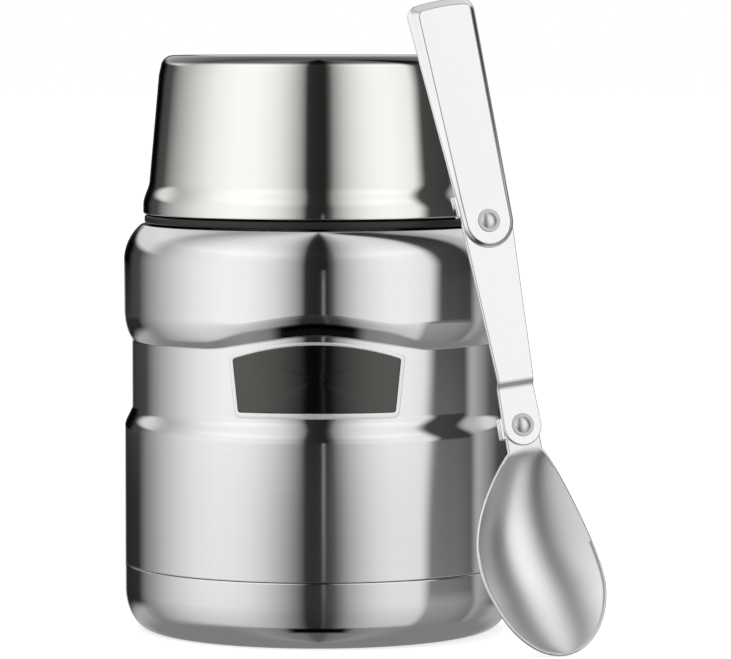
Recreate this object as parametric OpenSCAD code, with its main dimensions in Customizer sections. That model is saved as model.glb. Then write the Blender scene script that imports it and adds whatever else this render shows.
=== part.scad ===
// Insulated food jar with screw stopper, bowl lid and folding spoon.
// Millimetres. Origin on the jar's axis at the plane it stands on, +Z up, front towards -Y.

/* [Jar body] */
// Radius of the body at its widest
body_r = 47.1; // [44:0.1:52]
// Depth of the recessed waist
waist_depth = 1.8; // [1.5:0.1:2.2]
// Height of the waist's lower edge
waist_z0 = 54; // [50:0.5:56]
// Height of the waist's straight band
waist_h = 16.4; // [14:0.2:18]
// Height of the slope between waist and body
slope_h = 4.6; // [3:0.1:5.5]
// Height of the shoulder's top
shoulder_z = 98.1; // [96.5:0.1:101]
// Radius of the shoulder's rounding
shoulder_round = 6.9; // [5:0.1:8]
// Wall of the outer shell, the base cap and the lid shell
shell_t = 0.6; // [0.5:0.05:0.8]
// Height of the seam between shell and base cap
seam_z = 16.2; // [12:0.1:20]
// Width of the seam's hairline gap
seam_gap = 0.1; // [0.05:0.05:0.2]

/* [Pressed facet] */
// Height at which the facet meets the waist at the front
facet_z = 75.6; // [74:0.1:76.2]
// Slope of the facet from level, degrees
facet_angle = 41; // [38:1:46]
// Half the facet's width, degrees round the body
facet_spread = 35; // [33:1:40]

/* [Base] */
// Width of the rounded corner under the body
base_round = 6.5; // [5:0.5:8]
// Height of the rounded corner under the body
base_rise = 10; // [8:0.5:11]
// Width of the ring the jar stands on
foot_w = 4; // [3:0.5:6]
// Height of the recess inside the foot
foot_recess = 2.6; // [2:0.1:3.2]
// Thickness of the base disc
disc_t = 0.55; // [0.4:0.05:0.8]
// Radius of the evacuation hole
seal_r = 1.5; // [1:0.1:2.5]

/* [Vessel] */
// Width of the shoulder, from the body's side to the mouth
shoulder_w = 17.1; // [16.8:0.1:18.4]
// Gap between the two walls, which holds the vacuum
wall_gap = 2.6; // [2.2:0.1:4]
// Wall of the inner vessel and the lid liner
vessel_t = 0.5; // [0.4:0.05:0.6]
// Height of the rim above the shoulder
neck_h = 17.9; // [16:0.1:18.4]
// Height of the vessel's floor, inside
floor_z = 8; // [7.4:0.1:12]
// Radius of the rounding of the vessel's floor and shoulder
vessel_round = 8; // [6:0.5:9]
// Gap between the two walls of the neck
neck_gap = 1; // [0.8:0.1:1.2]
// Thickness of the radiation foil
foil_t = 0.15; // [0.1:0.05:0.3]
// Radius of the getter
getter_r = 5; // [4:0.5:8]
// Height of the getter
getter_h = 1.6; // [1.2:0.1:2]

/* [Stopper] */
// Inset of the visible flange from the body's side
flange_inset = 5; // [4.7:0.1:6]
// Height of the visible flange
flange_h = 2; // [1.5:0.1:3]
// Wall of the skirt that is screwed over the neck
skirt_wall = 3.3; // [2.7:0.1:3.6]
// Height of the thread land above the flange
land_h = 7.6; // [6:0.1:8.4]
// Step from the thread land in to the finger grip
grip_step = 1.2; // [1:0.1:1.8]
// Height of the stopper's top edge above the flange
stopper_h = 24.1; // [23:0.1:25.4]
// Wall of the tray and the plug
stopper_wall = 2; // [1.5:0.1:2.4]
// Depth of the plug below the flange's top
plug_h = 6; // [5.6:0.1:7]
// Depth of the recess below the tray
recess_h = 12; // [9:0.5:12.5]
// Number of flutes in the grip
flutes = 30; // [16:1:36]
// Depth of a flute
flute_depth = 0.7; // [0.4:0.1:0.9]
// Height of the gasket
gasket_h = 2.6; // [2:0.1:3]
// Depth of the gasket's groove
gasket_depth = 1.4; // [1:0.1:1.6]
// Height of the groove above the plug's lower face
gasket_up = 1.6; // [1.4:0.1:2]

/* [Lid] */
// How far the lid's lower edge stands out over the flange
lid_over = 0.3; // [0:0.1:1.2]
// How far the lid flares out at its lower edge
flare_out = 1.6; // [1:0.1:2]
// How far the lid narrows between the flare and its top
lid_taper = 2.7; // [1.8:0.1:3]
// Height of the lid
lid_h = 38.1; // [37.4:0.1:40]
// Rounding of the top edge
lid_round = 3; // [2:0.1:4]
// Height of the flared band
flare_h = 8.4; // [7:0.1:9.5]
// Height of the straight band at the lower edge
hem_h = 2; // [1:0.1:3]
// Gap between the lid's two walls at its top
lid_gap = 1.7; // [1.4:0.1:3]
// Rounding of the floor of the lid's bowl
liner_round = 6; // [4:0.5:9]

/* [Front plate] */
// Half the plate's width at its upper corners
plate_half_w = 19.7; // [17:0.1:20]
// How much the plate narrows on each side towards its foot
plate_taper = 1.5; // [0:0.1:2]
// Height of the plate's lower edge above the waist's lower edge
plate_low = 1.9; // [1.7:0.1:3]
// Height of the plate at its middle
plate_h = 15.9; // [13:0.1:16]
// Radius of the arched upper edge
plate_arch_r = 54; // [48:1:70]
// Thickness of the plate
plate_t = 0.4; // [0.3:0.05:0.6]
// Width of the pale frame
frame_w = 1.6; // [1:0.1:1.7]

/* [Spoon] */
// Length from the upper rivet to the handle's end
handle_len = 53; // [48:0.5:54]
// Half the width of the handle's end
handle_half_w = 8.4; // [7.5:0.1:9]
// Radius of the handle's hinge end
handle_end_r = 6.3; // [6:0.1:6.8]
// Rise of the handle's panel at its end
handle_rise = 1.9; // [1:0.1:2.4]
// Length between the two rivets
link_len = 48.1; // [47:0.1:50]
// Radius of the link's lower end
link_end_r = 4.8; // [4.5:0.1:5.2]
// Step that sets the link's lower end back
joggle = 1.2; // [0.9:0.1:1.5]
// Length from the lower rivet to the bowl's tip
bowl_len = 54.4; // [52:0.1:56]
// Width of the bowl
bowl_w = 29.4; // [26:0.1:32]
// Depth of the bowl
bowl_depth = 7.2; // [5:0.1:8]
// Thickness of the spoon's steel
spoon_t = 1; // [0.8:0.05:1.1]
// Radius of the rivets' shanks
rivet_r = 1.5; // [1.2:0.05:1.8]
// Radius of the rivets' heads
head_r = 1.9; // [1.8:0.1:2.2]
// Radius of the washers
washer_r = 2.7; // [2.4:0.1:3]
// Thickness of the washers
washer_t = 0.35; // [0.3:0.05:0.5]
// Length of the stop tabs
tab_len = 5; // [4:0.5:6]
// Angle of the handle to the link, degrees
handle_kink = 2.5; // [0:0.5:4]
// Distance of the upper rivet from the body's side
spoon_off = 10.91; // [10:0.01:14]
// Place of the spoon round the jar, degrees from the front towards the right
spoon_side = 43.18; // [30:0.01:60]
// Height of the bowl's tip line above the table
tip_lift = 0.67; // [0.6:0.01:1]
// Turn of the spoon about the vertical, degrees
spoon_turn = 18; // [14:1:24]
// Backward lean of the spoon, degrees
spoon_lean = 11.2; // [10:0.1:11.4]
// Sideways lean of the spoon, degrees
spoon_tilt = 7.1; // [6:0.1:8]

/* [Fits] */
// Gap between a lifted piece and the seat below it
seat_gap = 0.3; // [0.2:0.05:0.4]
// Radial room that a screw thread takes up
thread_room = 1; // [0.8:0.05:1.1]
// Radial gap round the gasket
gasket_gap = 0.3; // [0.2:0.05:0.4]
// Gap between pieces that are pressed or bonded together
press_gap = 0.03; // [0.02:0.01:0.05]
// Radial play of a rivet in the hole it turns in
rivet_play = 0.06; // [0.03:0.01:0.09]
// Gap between the spoon's sliding faces
slide_gap = 0.1; // [0.05:0.05:0.15]

/* [Hidden] */
$fn = 96;
soft_fn = 32;        // facets of the circles that are hulled
arc_steps = 10;      // steps of a rounded corner
through = 1;         // how far a cutter passes beyond the face it cuts

// Heights and radii that follow from the sizes above
waist_r = body_r - waist_depth;
waist_z1 = waist_z0 + waist_h;
mouth_r = body_r - shoulder_w;
belly_r = waist_r - shell_t - wall_gap - vessel_t;
rim_z = shoulder_z + neck_h;
vessel_neck_r = mouth_r + vessel_t;
shell_neck_r = vessel_neck_r + neck_gap + shell_t;
belly_top = shoulder_z - shell_t - wall_gap;     // the vessel's shoulder, under the shell's
flange_z = shoulder_z + seat_gap;
flange_top = flange_z + flange_h;
stopper_top = flange_top + stopper_h;
tray_z = rim_z + seat_gap + stopper_wall;        // floor of the wide tray
skirt_r = shell_neck_r + thread_room;            // inner radius of the stopper's skirt
land_r = skirt_r + skirt_wall;                   // the thread land for the lid
grip_r = land_r - grip_step;
flange_r = body_r - flange_inset;
plug_r = mouth_r - 2 * gasket_gap;
recess_r = plug_r - stopper_wall;
recess_z = tray_z - recess_h;
plug_z = flange_top - plug_h;
gasket_z = plug_z + gasket_up;
lid_z = flange_top + seat_gap;
lid_top = lid_z + lid_h;
lid_r = flange_r + lid_over;
lid_mid_r = lid_r - flare_out;
lid_top_r = lid_mid_r - lid_taper;
ring_in_r = land_r + thread_room;
ring_out_r = lid_mid_r - shell_t - seat_gap;
ring_top = flange_top + land_h + seat_gap;
liner_r = grip_r + seat_gap;                     // inner radius of the lid's bowl
liner_top = lid_top - shell_t - lid_gap;         // outside of the bowl's floor
liner_side_z = liner_top - vessel_t - liner_round;
hinge_drop = [0, -link_len, 0];
spoon_up = (link_len + bowl_len) * cos(spoon_tilt) * cos(spoon_lean) + tip_lift;
spoon_at = [(body_r + spoon_off) * sin(spoon_side), -(body_r + spoon_off) * cos(spoon_side), spoon_up];

// Points of an arc about c from angle a0 to a1
function arc(c, r, a0, a1, n = arc_steps) =
    [for (i = [0:n]) c + r * [cos(a0 + (a1 - a0) * i / n), sin(a0 + (a1 - a0) * i / n)]];

// A ring about the axis from radius r0 to r1, between two heights
module ring(r0, r1, z0, z1) {
    translate([0, 0, z0]) difference() {
        cylinder(r = r1, h = z1 - z0);
        translate([0, 0, -through]) cylinder(r = r0, h = z1 - z0 + 2 * through);
    }
}

// ---- Jar ----

// Outline of the body, moved inwards by t, from height z0 to the shoulder
module body_outline(t, z0) {
    polygon(concat(
        [[0, z0], [body_r - t, z0], [body_r - t, waist_z0 - slope_h],
         [waist_r - t, waist_z0], [waist_r - t, waist_z1],
         [body_r - t, waist_z1 + slope_h]],
        arc([body_r - shoulder_round, shoulder_z - shoulder_round], shoulder_round - t, 0, 90),
        [[0, shoulder_z - t]]));
}

// The flat facet pressed into the upper bulge, over the front plate
module facet(t) {
    half_w = waist_r * sin(facet_spread);
    outwards = 2 * slope_h;
    inwards = 3 * slope_h;
    deep = facet_z - waist_z1 + through;
    difference() {
        translate([0, -waist_r + t, facet_z]) rotate([-facet_angle, 0, 0])
            translate([-half_w, -outwards, -deep]) cube([2 * half_w, outwards + inwards, deep]);
        cylinder(r = waist_r - t, h = rim_z);
    }
}

module body_form(t, z0) {
    difference() {
        rotate_extrude() body_outline(t, z0);
        facet(t);
    }
}

module outer_shell() {
    color("silver") difference() {
        body_form(0, seam_z);
        body_form(shell_t, seam_z - through);
        cylinder(r = shell_neck_r + press_gap, h = rim_z);
    }
}

// The threaded neck, set into the shell's shoulder
module neck_ring() {
    color("silver")
        ring(shell_neck_r - shell_t, shell_neck_r, shoulder_z - shell_t, rim_z - vessel_t - press_gap);
}

// Outline of the vessel's inside, moved outwards by t
module vessel_outline(t) {
    r = belly_r + t;
    fillet = vessel_round + t;
    polygon(concat(
        arc([r - fillet, floor_z - t + fillet], fillet, -90, 0),
        arc([r - fillet, belly_top + t - fillet], fillet, 0, 90),
        [[0, belly_top + t], [0, floor_z - t]]));
}

module inner_vessel() {
    color("gainsboro") difference() {
        rotate_extrude() vessel_outline(vessel_t);
        rotate_extrude() vessel_outline(0);
        translate([0, 0, belly_top - through]) cylinder(r = vessel_neck_r + press_gap, h = neck_h);
    }
}

// The mouth of the vessel, with the rolled lip that closes the vacuum over the neck
module mouth_ring() {
    color("gainsboro") {
        ring(mouth_r, vessel_neck_r, belly_top, rim_z);
        ring(mouth_r, shell_neck_r, rim_z - vessel_t, rim_z);
    }
}

module radiation_foil() {
    foil_r = belly_r + vessel_t + press_gap;
    color("peru") ring(foil_r, foil_r + foil_t, floor_z + vessel_round, belly_top - vessel_round);
}

module getter() {
    color("dimgray") translate([0, 0, floor_z - vessel_t - press_gap - getter_h])
        cylinder(r = getter_r, h = getter_h);
}

// Outline of the base cap, moved inwards by t, closed at height z1
module base_outline(t, z1) {
    foot_r = body_r - base_round;
    miter = t * tan(22.5);
    polygon(concat(
        [[0, foot_recess + t], [foot_r - foot_w - foot_recess + miter, foot_recess + t],
         [foot_r - foot_w + miter, t]],
        [for (p = arc([0, 0], 1, -90, 0))
            [foot_r + (base_round - t) * p[0], base_rise + (base_rise - t) * p[1]]],
        [[body_r - t, z1], [0, z1]]));
}

module base_cap() {
    color("silver") difference() {
        rotate_extrude() base_outline(0, seam_z - seam_gap);
        rotate_extrude() base_outline(shell_t, seam_z + through);
        cylinder(r = seal_r + press_gap, h = seam_z);
    }
}

// The disc closes the recess, seated on its slope and flush with the foot
module base_disc() {
    disc_r = body_r - base_round - foot_w - press_gap;
    color("gray") cylinder(r1 = disc_r, r2 = disc_r - disc_t, h = disc_t);
}

module seal_plug() {
    head = 0.8;
    color("darkgoldenrod") {
        translate([0, 0, foot_recess]) cylinder(r = seal_r, h = shell_t + press_gap);
        translate([0, 0, foot_recess + shell_t + press_gap])
            cylinder(r1 = seal_r + head, r2 = seal_r, h = head);
    }
}

// ---- Front plate ----

// Outline of the plate, grown by g on every side
module plate_outline(g) {
    corner = 1;
    low = waist_z0 + plate_low;
    high = low + plate_h;
    arch = plate_arch_r + g;
    arch_drop = plate_arch_r - sqrt(plate_arch_r * plate_arch_r - plate_half_w * plate_half_w);
    side = high - arch_drop;
    intersection() {
        translate([0, high - plate_arch_r]) circle(r = arch, $fn = 4 * $fn);
        hull() for (x = [-1, 1]) {
            translate([x * (plate_half_w - plate_taper - corner), low + corner])
                circle(r = corner + g, $fn = soft_fn);
            translate([x * (plate_half_w - corner), high + corner]) circle(r = corner + g, $fn = soft_fn);
            translate([x * (plate_half_w - corner), side]) circle(r = corner + g, $fn = soft_fn);
        }
    }
}

// The outline g wide, laid on the waist with thickness t
module on_waist(g, t) {
    intersection() {
        rotate([90, 0, 0]) linear_extrude(height = body_r) plate_outline(g);
        ring(waist_r + press_gap, waist_r + press_gap + t, waist_z0, waist_z1 + slope_h);
    }
}

module plate() {
    color("#2b2b2b") on_waist(0, plate_t);
}

module plate_frame() {
    color("whitesmoke") difference() {
        on_waist(frame_w, plate_t);
        rotate([90, 0, 0]) linear_extrude(height = body_r) plate_outline(press_gap);
    }
}

// ---- Stopper ----

module stopper_cup() {
    color("#1e1e1e") difference() {
        union() {
            translate([0, 0, flange_z]) cylinder(r = flange_r, h = flange_h);
            translate([0, 0, flange_top]) cylinder(r = land_r, h = land_h);
            translate([0, 0, flange_top]) cylinder(r = grip_r, h = stopper_h);
        }
        // room for the jar's neck
        translate([0, 0, flange_z - through])
            ring(plug_r, skirt_r, 0, rim_z + seat_gap - flange_z + through);
        // the plug's cover closes the cup from below
        translate([0, 0, flange_z - through])
            cylinder(r = plug_r + through, h = recess_z - stopper_wall - flange_z + through);
        // the recess and the wide tray that hold the folded spoon
        translate([0, 0, recess_z]) cylinder(r = recess_r, h = stopper_top);
        translate([0, 0, tray_z]) cylinder(r = grip_r - stopper_wall, h = stopper_top);
        // flutes of the finger grip
        for (i = [0:flutes - 1]) rotate([0, 0, i * 360 / flutes])
            translate([grip_r + 2 * flute_depth, 0, flange_top + land_h + 2 * flute_depth])
                cylinder(r = 3 * flute_depth, h = stopper_h, $fn = soft_fn);
    }
}

module stopper_plug() {
    cover_z = recess_z - stopper_wall - press_gap;
    color("#262626") difference() {
        translate([0, 0, plug_z]) cylinder(r = plug_r, h = cover_z - plug_z);
        translate([0, 0, plug_z + stopper_wall]) cylinder(r = recess_r - gasket_depth, h = cover_z);
        ring(plug_r - gasket_depth, plug_r + through, gasket_z, gasket_z + gasket_h);
    }
}

module stopper_foam() {
    foam_low = plug_z + stopper_wall + press_gap;
    color("khaki") translate([0, 0, foam_low])
        cylinder(r = recess_r - gasket_depth - press_gap, h = recess_z - stopper_wall - press_gap - foam_low);
}

module stopper_gasket() {
    axial_gap = 0.2;
    color("#d8d8d0") ring(plug_r - gasket_depth + gasket_gap, mouth_r - gasket_gap,
                          gasket_z + axial_gap, gasket_z + gasket_h - axial_gap);
}

// ---- Lid ----

// Outline of the lid, moved inwards by t
module lid_outline(t) {
    hem_z = lid_z + hem_h;
    rise = flare_h - hem_h;
    sag = lid_r - lid_mid_r;
    top_lean = atan((lid_mid_r - lid_top_r) / (lid_h - flare_h));
    polygon(concat(
        [[0, lid_z - t], [lid_r - t, lid_z - t], [lid_r - t, hem_z]],
        [for (i = [1:arc_steps]) let (s = i / arc_steps)
            [lid_r - t - sag * (1 - cos(180 * s)) / 2, hem_z + rise * s]],
        arc([lid_top_r - lid_round, lid_top - lid_round], lid_round - t, top_lean, 90),
        [[0, lid_top - t]]));
}

module lid_shell() {
    color("silver") difference() {
        rotate_extrude() lid_outline(0);
        rotate_extrude() lid_outline(shell_t);
    }
}

module lid_ring() {
    color("#1e1e1e") ring(ring_in_r, ring_out_r, lid_z, ring_top);
}

// Outline of the bowl's inside, moved outwards by t
module liner_outline(t) {
    r = liner_r + t;
    fillet = liner_round + t;
    roof = liner_top - vessel_t + t;
    polygon(concat(
        [[0, ring_top], [r, ring_top]],
        arc([r - fillet, roof - fillet], fillet, 0, 90),
        [[0, roof]]));
}

// The bowl's side, with the flange that rests on the threaded ring
module lid_liner() {
    flange_low = ring_top + press_gap;
    color("gainsboro") {
        ring(liner_r, liner_r + vessel_t, flange_low, liner_side_z);
        ring(liner_r, ring_out_r - through, flange_low, flange_low + vessel_t);
    }
}

// The bowl's floor and its rounding, which goes on from the side
module liner_floor() {
    color("gainsboro") difference() {
        rotate_extrude() liner_outline(vessel_t);
        rotate_extrude() liner_outline(0);
        cylinder(r = liner_r + vessel_t + through, h = liner_side_z);
    }
}

// ---- Spoon ----
// The spoon's own frame: the upper rivet at the origin, X across, Y up the spoon, Z out of its face.
// The link's face lies at Z = 0.

module stand_spoon() {
    translate(spoon_at) rotate([0, 0, spoon_turn]) rotate([90 - spoon_lean, 0, 0])
        rotate([0, 0, spoon_tilt]) children();
}

handle_z = slide_gap;                            // back of the handle
link_low_z = -joggle;                            // face of the link's lower end
neck_z = link_low_z - spoon_t - slide_gap;       // face of the bowl's neck
head_h = 0.6;                                    // height of a rivet's domed head
tab_rise = 0.6;                                  // how far a stop tab stands over the face it stops
stop_from = 2.2;                                 // where a stop tab starts, from its rivet
joggle_from = 10.5;                              // where the joggle starts, from the lower rivet
joggle_run = 1.6;                                // its length along the link
link_waist = 4.5;                                // half the link's width above the joggle

// A washer on the face at height z
module washer(z) {
    ring(rivet_r + press_gap, washer_r, z + press_gap, z + press_gap + washer_t);
}

// A rivet from its tail behind height z0 to its domed head on the washer above z1
module rivet(z0, z1) {
    tail_h = 0.4;
    tail_r = 2.4;
    dome = (head_r * head_r + head_h * head_h) / (2 * head_h);
    head_z = z1 + washer_t + 2 * press_gap;
    translate([0, 0, z0 - slide_gap - tail_h]) cylinder(r = tail_r, h = tail_h);
    translate([0, 0, z0 - slide_gap - tail_h]) cylinder(r = rivet_r, h = head_z - z0 + slide_gap + tail_h);
    translate([0, 0, head_z]) intersection() {
        cylinder(r = head_r, h = head_h);
        translate([0, 0, head_h - dome]) sphere(r = dome, $fn = 2 * $fn);
    }
}

// The handle's form, moved inwards by inset, standing on height low: a round hinge end and two
// far corners, joined by sides that slope in to a raised panel
module handle_bar(inset, low) {
    corner = 3;
    end_x = handle_half_w - corner;
    end_y = handle_len - corner;
    slope_run = handle_rise * 0.7;
    edge_h = spoon_t * 0.4;
    hull() {
        translate([0, 0, low]) cylinder(r = handle_end_r - inset, h = edge_h, $fn = soft_fn);
        translate([0, 0, low])
            cylinder(r = handle_end_r - inset - spoon_t / 2, h = spoon_t, $fn = soft_fn);
        for (x = [-1, 1]) {
            translate([x * end_x, end_y, low]) cylinder(r = corner - inset, h = edge_h, $fn = soft_fn);
            translate([x * (end_x - slope_run), end_y - slope_run, low])
                cylinder(r = corner - inset, h = spoon_t + handle_rise, $fn = soft_fn);
        }
    }
}

module handle_form() {
    hollow_from = handle_end_r + 3;
    difference() {
        handle_bar(0, handle_z);
        // the hollow behind the raised panel
        difference() {
            handle_bar(spoon_t, handle_z - spoon_t);
            translate([-body_r, hollow_from - body_r, -body_r]) cube([2 * body_r, body_r, 2 * body_r]);
        }
        // the washer's seat and the rivet's hole
        translate([0, 0, handle_z + spoon_t]) cylinder(r = washer_r + 2 * slide_gap, h = handle_rise);
        translate([0, 0, -through]) cylinder(r = rivet_r + press_gap, h = 4 * through);
    }
}

module spoon_handle() {
    color("whitesmoke") stand_spoon() rotate([0, 0, handle_kink]) handle_form();
}

module handle_rivet() {
    color("lightgray") stand_spoon() rivet(-spoon_t, handle_z + spoon_t);
}

module handle_washer() {
    color("silver") stand_spoon() washer(handle_z + spoon_t);
}

// Side view of the link's sheet: straight, then set back by the joggle
module link_side() {
    bend = link_len - joggle_from;
    face = [[handle_end_r + tab_len, 0], [-bend, 0],
            [-bend - joggle_run, link_low_z], [-link_len - 2 * link_end_r, link_low_z]];
    polygon(concat(face, [for (i = [3:-1:0]) face[i] - [0, spoon_t]]));
}

// Front view of the link
module link_face() {
    waist_y = joggle_from - link_len;
    circle(r = handle_end_r);
    translate([0, -link_len]) circle(r = link_end_r);
    polygon([[-handle_end_r, 0], [handle_end_r, 0], [link_waist, waist_y], [link_end_r, -link_len],
             [-link_end_r, -link_len], [-link_waist, waist_y]]);
}

// A stop tab that stands up beside the edge x = -edge, from y0 up to y0 + tab_len, with its root
module stop_tab(edge, y0, low, high) {
    translate([-edge - slide_gap - spoon_t, y0, low]) {
        cube([spoon_t, tab_len, high - low]);
        cube([edge / 2, tab_len, spoon_t]);
    }
}

module spoon_link() {
    taper = atan((handle_half_w - handle_end_r) / handle_len);
    color("whitesmoke") stand_spoon() difference() {
        union() {
            intersection() {
                rotate([90, 0, 90]) translate([0, 0, -body_r]) linear_extrude(height = 2 * body_r) link_side();
                translate([0, 0, -body_r]) linear_extrude(height = 2 * body_r) link_face();
            }
            rotate([0, 0, handle_kink + taper])
                stop_tab(handle_end_r, stop_from, -spoon_t, handle_z + spoon_t + tab_rise);
        }
        translate([0, 0, -2 * through]) cylinder(r = rivet_r + rivet_play, h = 4 * through);
        translate(hinge_drop + [0, 0, -4 * through]) cylinder(r = rivet_r + press_gap, h = 8 * through);
    }
}

module link_rivet() {
    color("lightgray") stand_spoon() translate(hinge_drop) rivet(neck_z - spoon_t, link_low_z);
}

module link_washer() {
    color("silver") stand_spoon() translate(hinge_drop) washer(link_low_z);
}

// The bowl is a grid of points: rows from the neck to the tip, columns from edge to edge.
neck_len = 6;                                    // from the rivet to the start of the bowl
neck_half_w = 4.3;
wide_at = 0.58;                                  // where the bowl is widest, from neck to tip
rows = 9;                                        // rows on each side of the widest one
cols = 12;
tip_turn = 86;                                   // the last row's angle round the tip
row_s = concat([for (i = [0:rows]) wide_at * i / rows],
               [for (i = [1:rows]) wide_at + (1 - wide_at) * sin(tip_turn * i / rows)]);

function half_w(s) = s < wide_at
    ? neck_half_w + (bowl_w / 2 - neck_half_w) * pow(sin(90 * s / wide_at), 0.85)
    : bowl_w / 2 * sqrt(1 - pow((s - wide_at) / (1 - wide_at), 2));
function rim_z_at(s) = neck_z - 1.2 * sin(180 * s) + 0.4 * s;
function dish(s) = bowl_depth * pow(sin(180 * pow(s, 0.85)), 0.85);
function bowl_point(s, k, t) = let (u = 2 * k / cols - 1)
    [u * half_w(s), -neck_len - (bowl_len - neck_len) * s, rim_z_at(s) - dish(s) * (1 - u * u) - t];

module bowl_form() {
    n = cols + 1;
    m = len(row_s);
    top = [for (s = row_s, k = [0:cols]) bowl_point(s, k, 0)];
    bottom = [for (s = row_s, k = [0:cols]) bowl_point(s, k, spoon_t)];
    below = m * n;
    sheet = [for (j = [0:m - 2], k = [0:cols - 1]) let (a = j * n + k) each
        [[a, a + 1, a + n], [a + 1, a + n + 1, a + n]]];
    sides = [for (j = [0:m - 2]) let (a = j * n, b = j * n + cols) each
        [[a, a + n, a + below], [a + n, a + n + below, a + below],
         [b, b + below, b + n], [b + n, b + below, b + n + below]]];
    ends = [for (k = [0:cols - 1]) let (a = k, b = (m - 1) * n + k) each
        [[a, a + below, a + 1], [a + 1, a + below, a + 1 + below],
         [b, b + 1, b + below], [b + 1, b + 1 + below, b + below]]];
    polyhedron(points = concat(top, bottom),
        faces = concat(sheet, [for (f = sheet) [f[0] + below, f[2] + below, f[1] + below]], sides, ends));
}

module spoon_bowl() {
    neck_r = link_end_r + 0.2;
    color("whitesmoke") stand_spoon() translate(hinge_drop) difference() {
        union() {
            translate([0, 0, neck_z - spoon_t]) cylinder(r = neck_r, h = spoon_t);
            translate([-neck_half_w, -neck_len - 0.5, neck_z - spoon_t]) cube([2 * neck_half_w, neck_len, spoon_t]);
            bowl_form();
            stop_tab(link_end_r, stop_from - tab_len, neck_z - spoon_t, link_low_z + tab_rise);
        }
        translate([0, 0, neck_z - 2 * spoon_t]) cylinder(r = rivet_r + rivet_play, h = 3 * spoon_t);
    }
}

outer_shell();
neck_ring();
mouth_ring();
inner_vessel();
radiation_foil();
getter();
base_cap();
base_disc();
seal_plug();
plate();
plate_frame();
stopper_gasket();
stopper_cup();
stopper_foam();
stopper_plug();
lid_ring();
lid_shell();
lid_liner();
liner_floor();
spoon_handle();
handle_rivet();
handle_washer();
spoon_link();
link_rivet();
link_washer();
spoon_bowl();
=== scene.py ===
import math
from functools import partial
from types import SimpleNamespace

import bmesh
import bpy
from mathutils import Matrix, Vector


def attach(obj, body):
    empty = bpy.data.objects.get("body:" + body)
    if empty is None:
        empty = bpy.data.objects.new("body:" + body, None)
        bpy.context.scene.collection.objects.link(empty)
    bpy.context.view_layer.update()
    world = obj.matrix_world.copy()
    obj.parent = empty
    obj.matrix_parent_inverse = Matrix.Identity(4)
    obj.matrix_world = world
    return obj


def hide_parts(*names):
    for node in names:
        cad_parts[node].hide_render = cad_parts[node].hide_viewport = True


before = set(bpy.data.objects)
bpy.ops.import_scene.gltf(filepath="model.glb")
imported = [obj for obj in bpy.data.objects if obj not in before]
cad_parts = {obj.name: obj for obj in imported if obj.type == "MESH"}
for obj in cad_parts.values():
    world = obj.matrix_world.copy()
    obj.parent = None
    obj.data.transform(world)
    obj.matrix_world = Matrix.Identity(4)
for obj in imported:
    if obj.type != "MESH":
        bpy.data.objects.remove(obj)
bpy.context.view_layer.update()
mm = 0.001
scene = bpy.context.scene
print("packed model loaded:", len(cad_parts), "nodes")


# camera and lamps, in metres and watts
cameraSetup = {"place": (0.01136, -1.10566, 0.14622), "pitchDown": 0.0667, "lens": 225.0, "sensor": 36.0,
               "near": 0.05, "far": 60}
lampAim = (0, 0, 0.07)
lamps = {  # place, size, watts
    "keyLamp": ((-0.9, -0.9, 1.2), 0.9, 5.0),
    "fillLamp": ((1.1, -0.7, 0.8), 0.9, 3.0),
    "backLamp": ((0.2, 1.0, 1.3), 1.0, 3.0),
}


def link(name, data):
    made = bpy.data.objects.new(name, data)
    scene.collection.objects.link(made)
    return made


def makeCamera():
    camera = link("camera", bpy.data.cameras.new("camera"))
    camera.location = cameraSetup["place"]
    camera.rotation_euler = (math.pi / 2 - cameraSetup["pitchDown"], 0, 0)
    camera.data.lens = cameraSetup["lens"]
    camera.data.sensor_width = cameraSetup["sensor"]
    camera.data.clip_start = cameraSetup["near"]
    camera.data.clip_end = cameraSetup["far"]
    scene.camera = camera


def makeLamp(name, place, size, watts):
    data = bpy.data.lights.new(name, "AREA")
    data.size = size
    data.energy = watts
    lamp = link(name, data)
    lamp.location = place
    lamp.rotation_euler = (Vector(lampAim) - Vector(place)).to_track_quat("-Z", "Y").to_euler()
    lamp.visible_glossy = False


makeCamera()
for lampName, values in lamps.items():
    makeLamp(lampName, *values)
scene.view_settings.view_transform = "Standard"


# node helpers

def feed(tree, socket, value):  # value: another node's output, a number or a colour
    if isinstance(value, bpy.types.NodeSocket):
        tree.links.new(value, socket)
    elif isinstance(value, tuple):
        socket.default_value = (*value, 1.0)
    else:
        socket.default_value = value


def addNode(tree, kind, inputs=None, **settings):
    node = tree.nodes.new(kind)
    for key, value in settings.items():
        setattr(node, key, value)
    for key, value in (inputs or {}).items():
        feed(tree, node.inputs[key], value)
    return node


def sums(tree):  # short names for the sums in one tree
    def calc(operation, *values):
        return addNode(tree, "ShaderNodeMath", dict(enumerate(values)), operation=operation).outputs[0]
    words = {"add": "ADD", "sub": "SUBTRACT", "mul": "MULTIPLY", "div": "DIVIDE", "most": "MAXIMUM",
             "least": "MINIMUM", "above": "GREATER_THAN"}
    return SimpleNamespace(calc=calc, **{word: partial(calc, operation) for word, operation in words.items()})


def rangeNode(tree, value, low, high, toLow=0.0, toHigh=1.0, smooth=False):
    node = addNode(tree, "ShaderNodeMapRange", {
        "Value": value, "From Min": low, "From Max": high, "To Min": toLow, "To Max": toHigh},
        interpolation_type="SMOOTHSTEP" if smooth else "LINEAR")
    return node.outputs["Result"]


def mixFloat(tree, factor, first, second):
    return addNode(tree, "ShaderNodeMix", {0: factor, 2: first, 3: second}, data_type="FLOAT").outputs[0]


def mixColor(tree, factor, first, second):
    return addNode(tree, "ShaderNodeMix", {0: factor, 6: first, 7: second}, data_type="RGBA").outputs[2]


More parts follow.
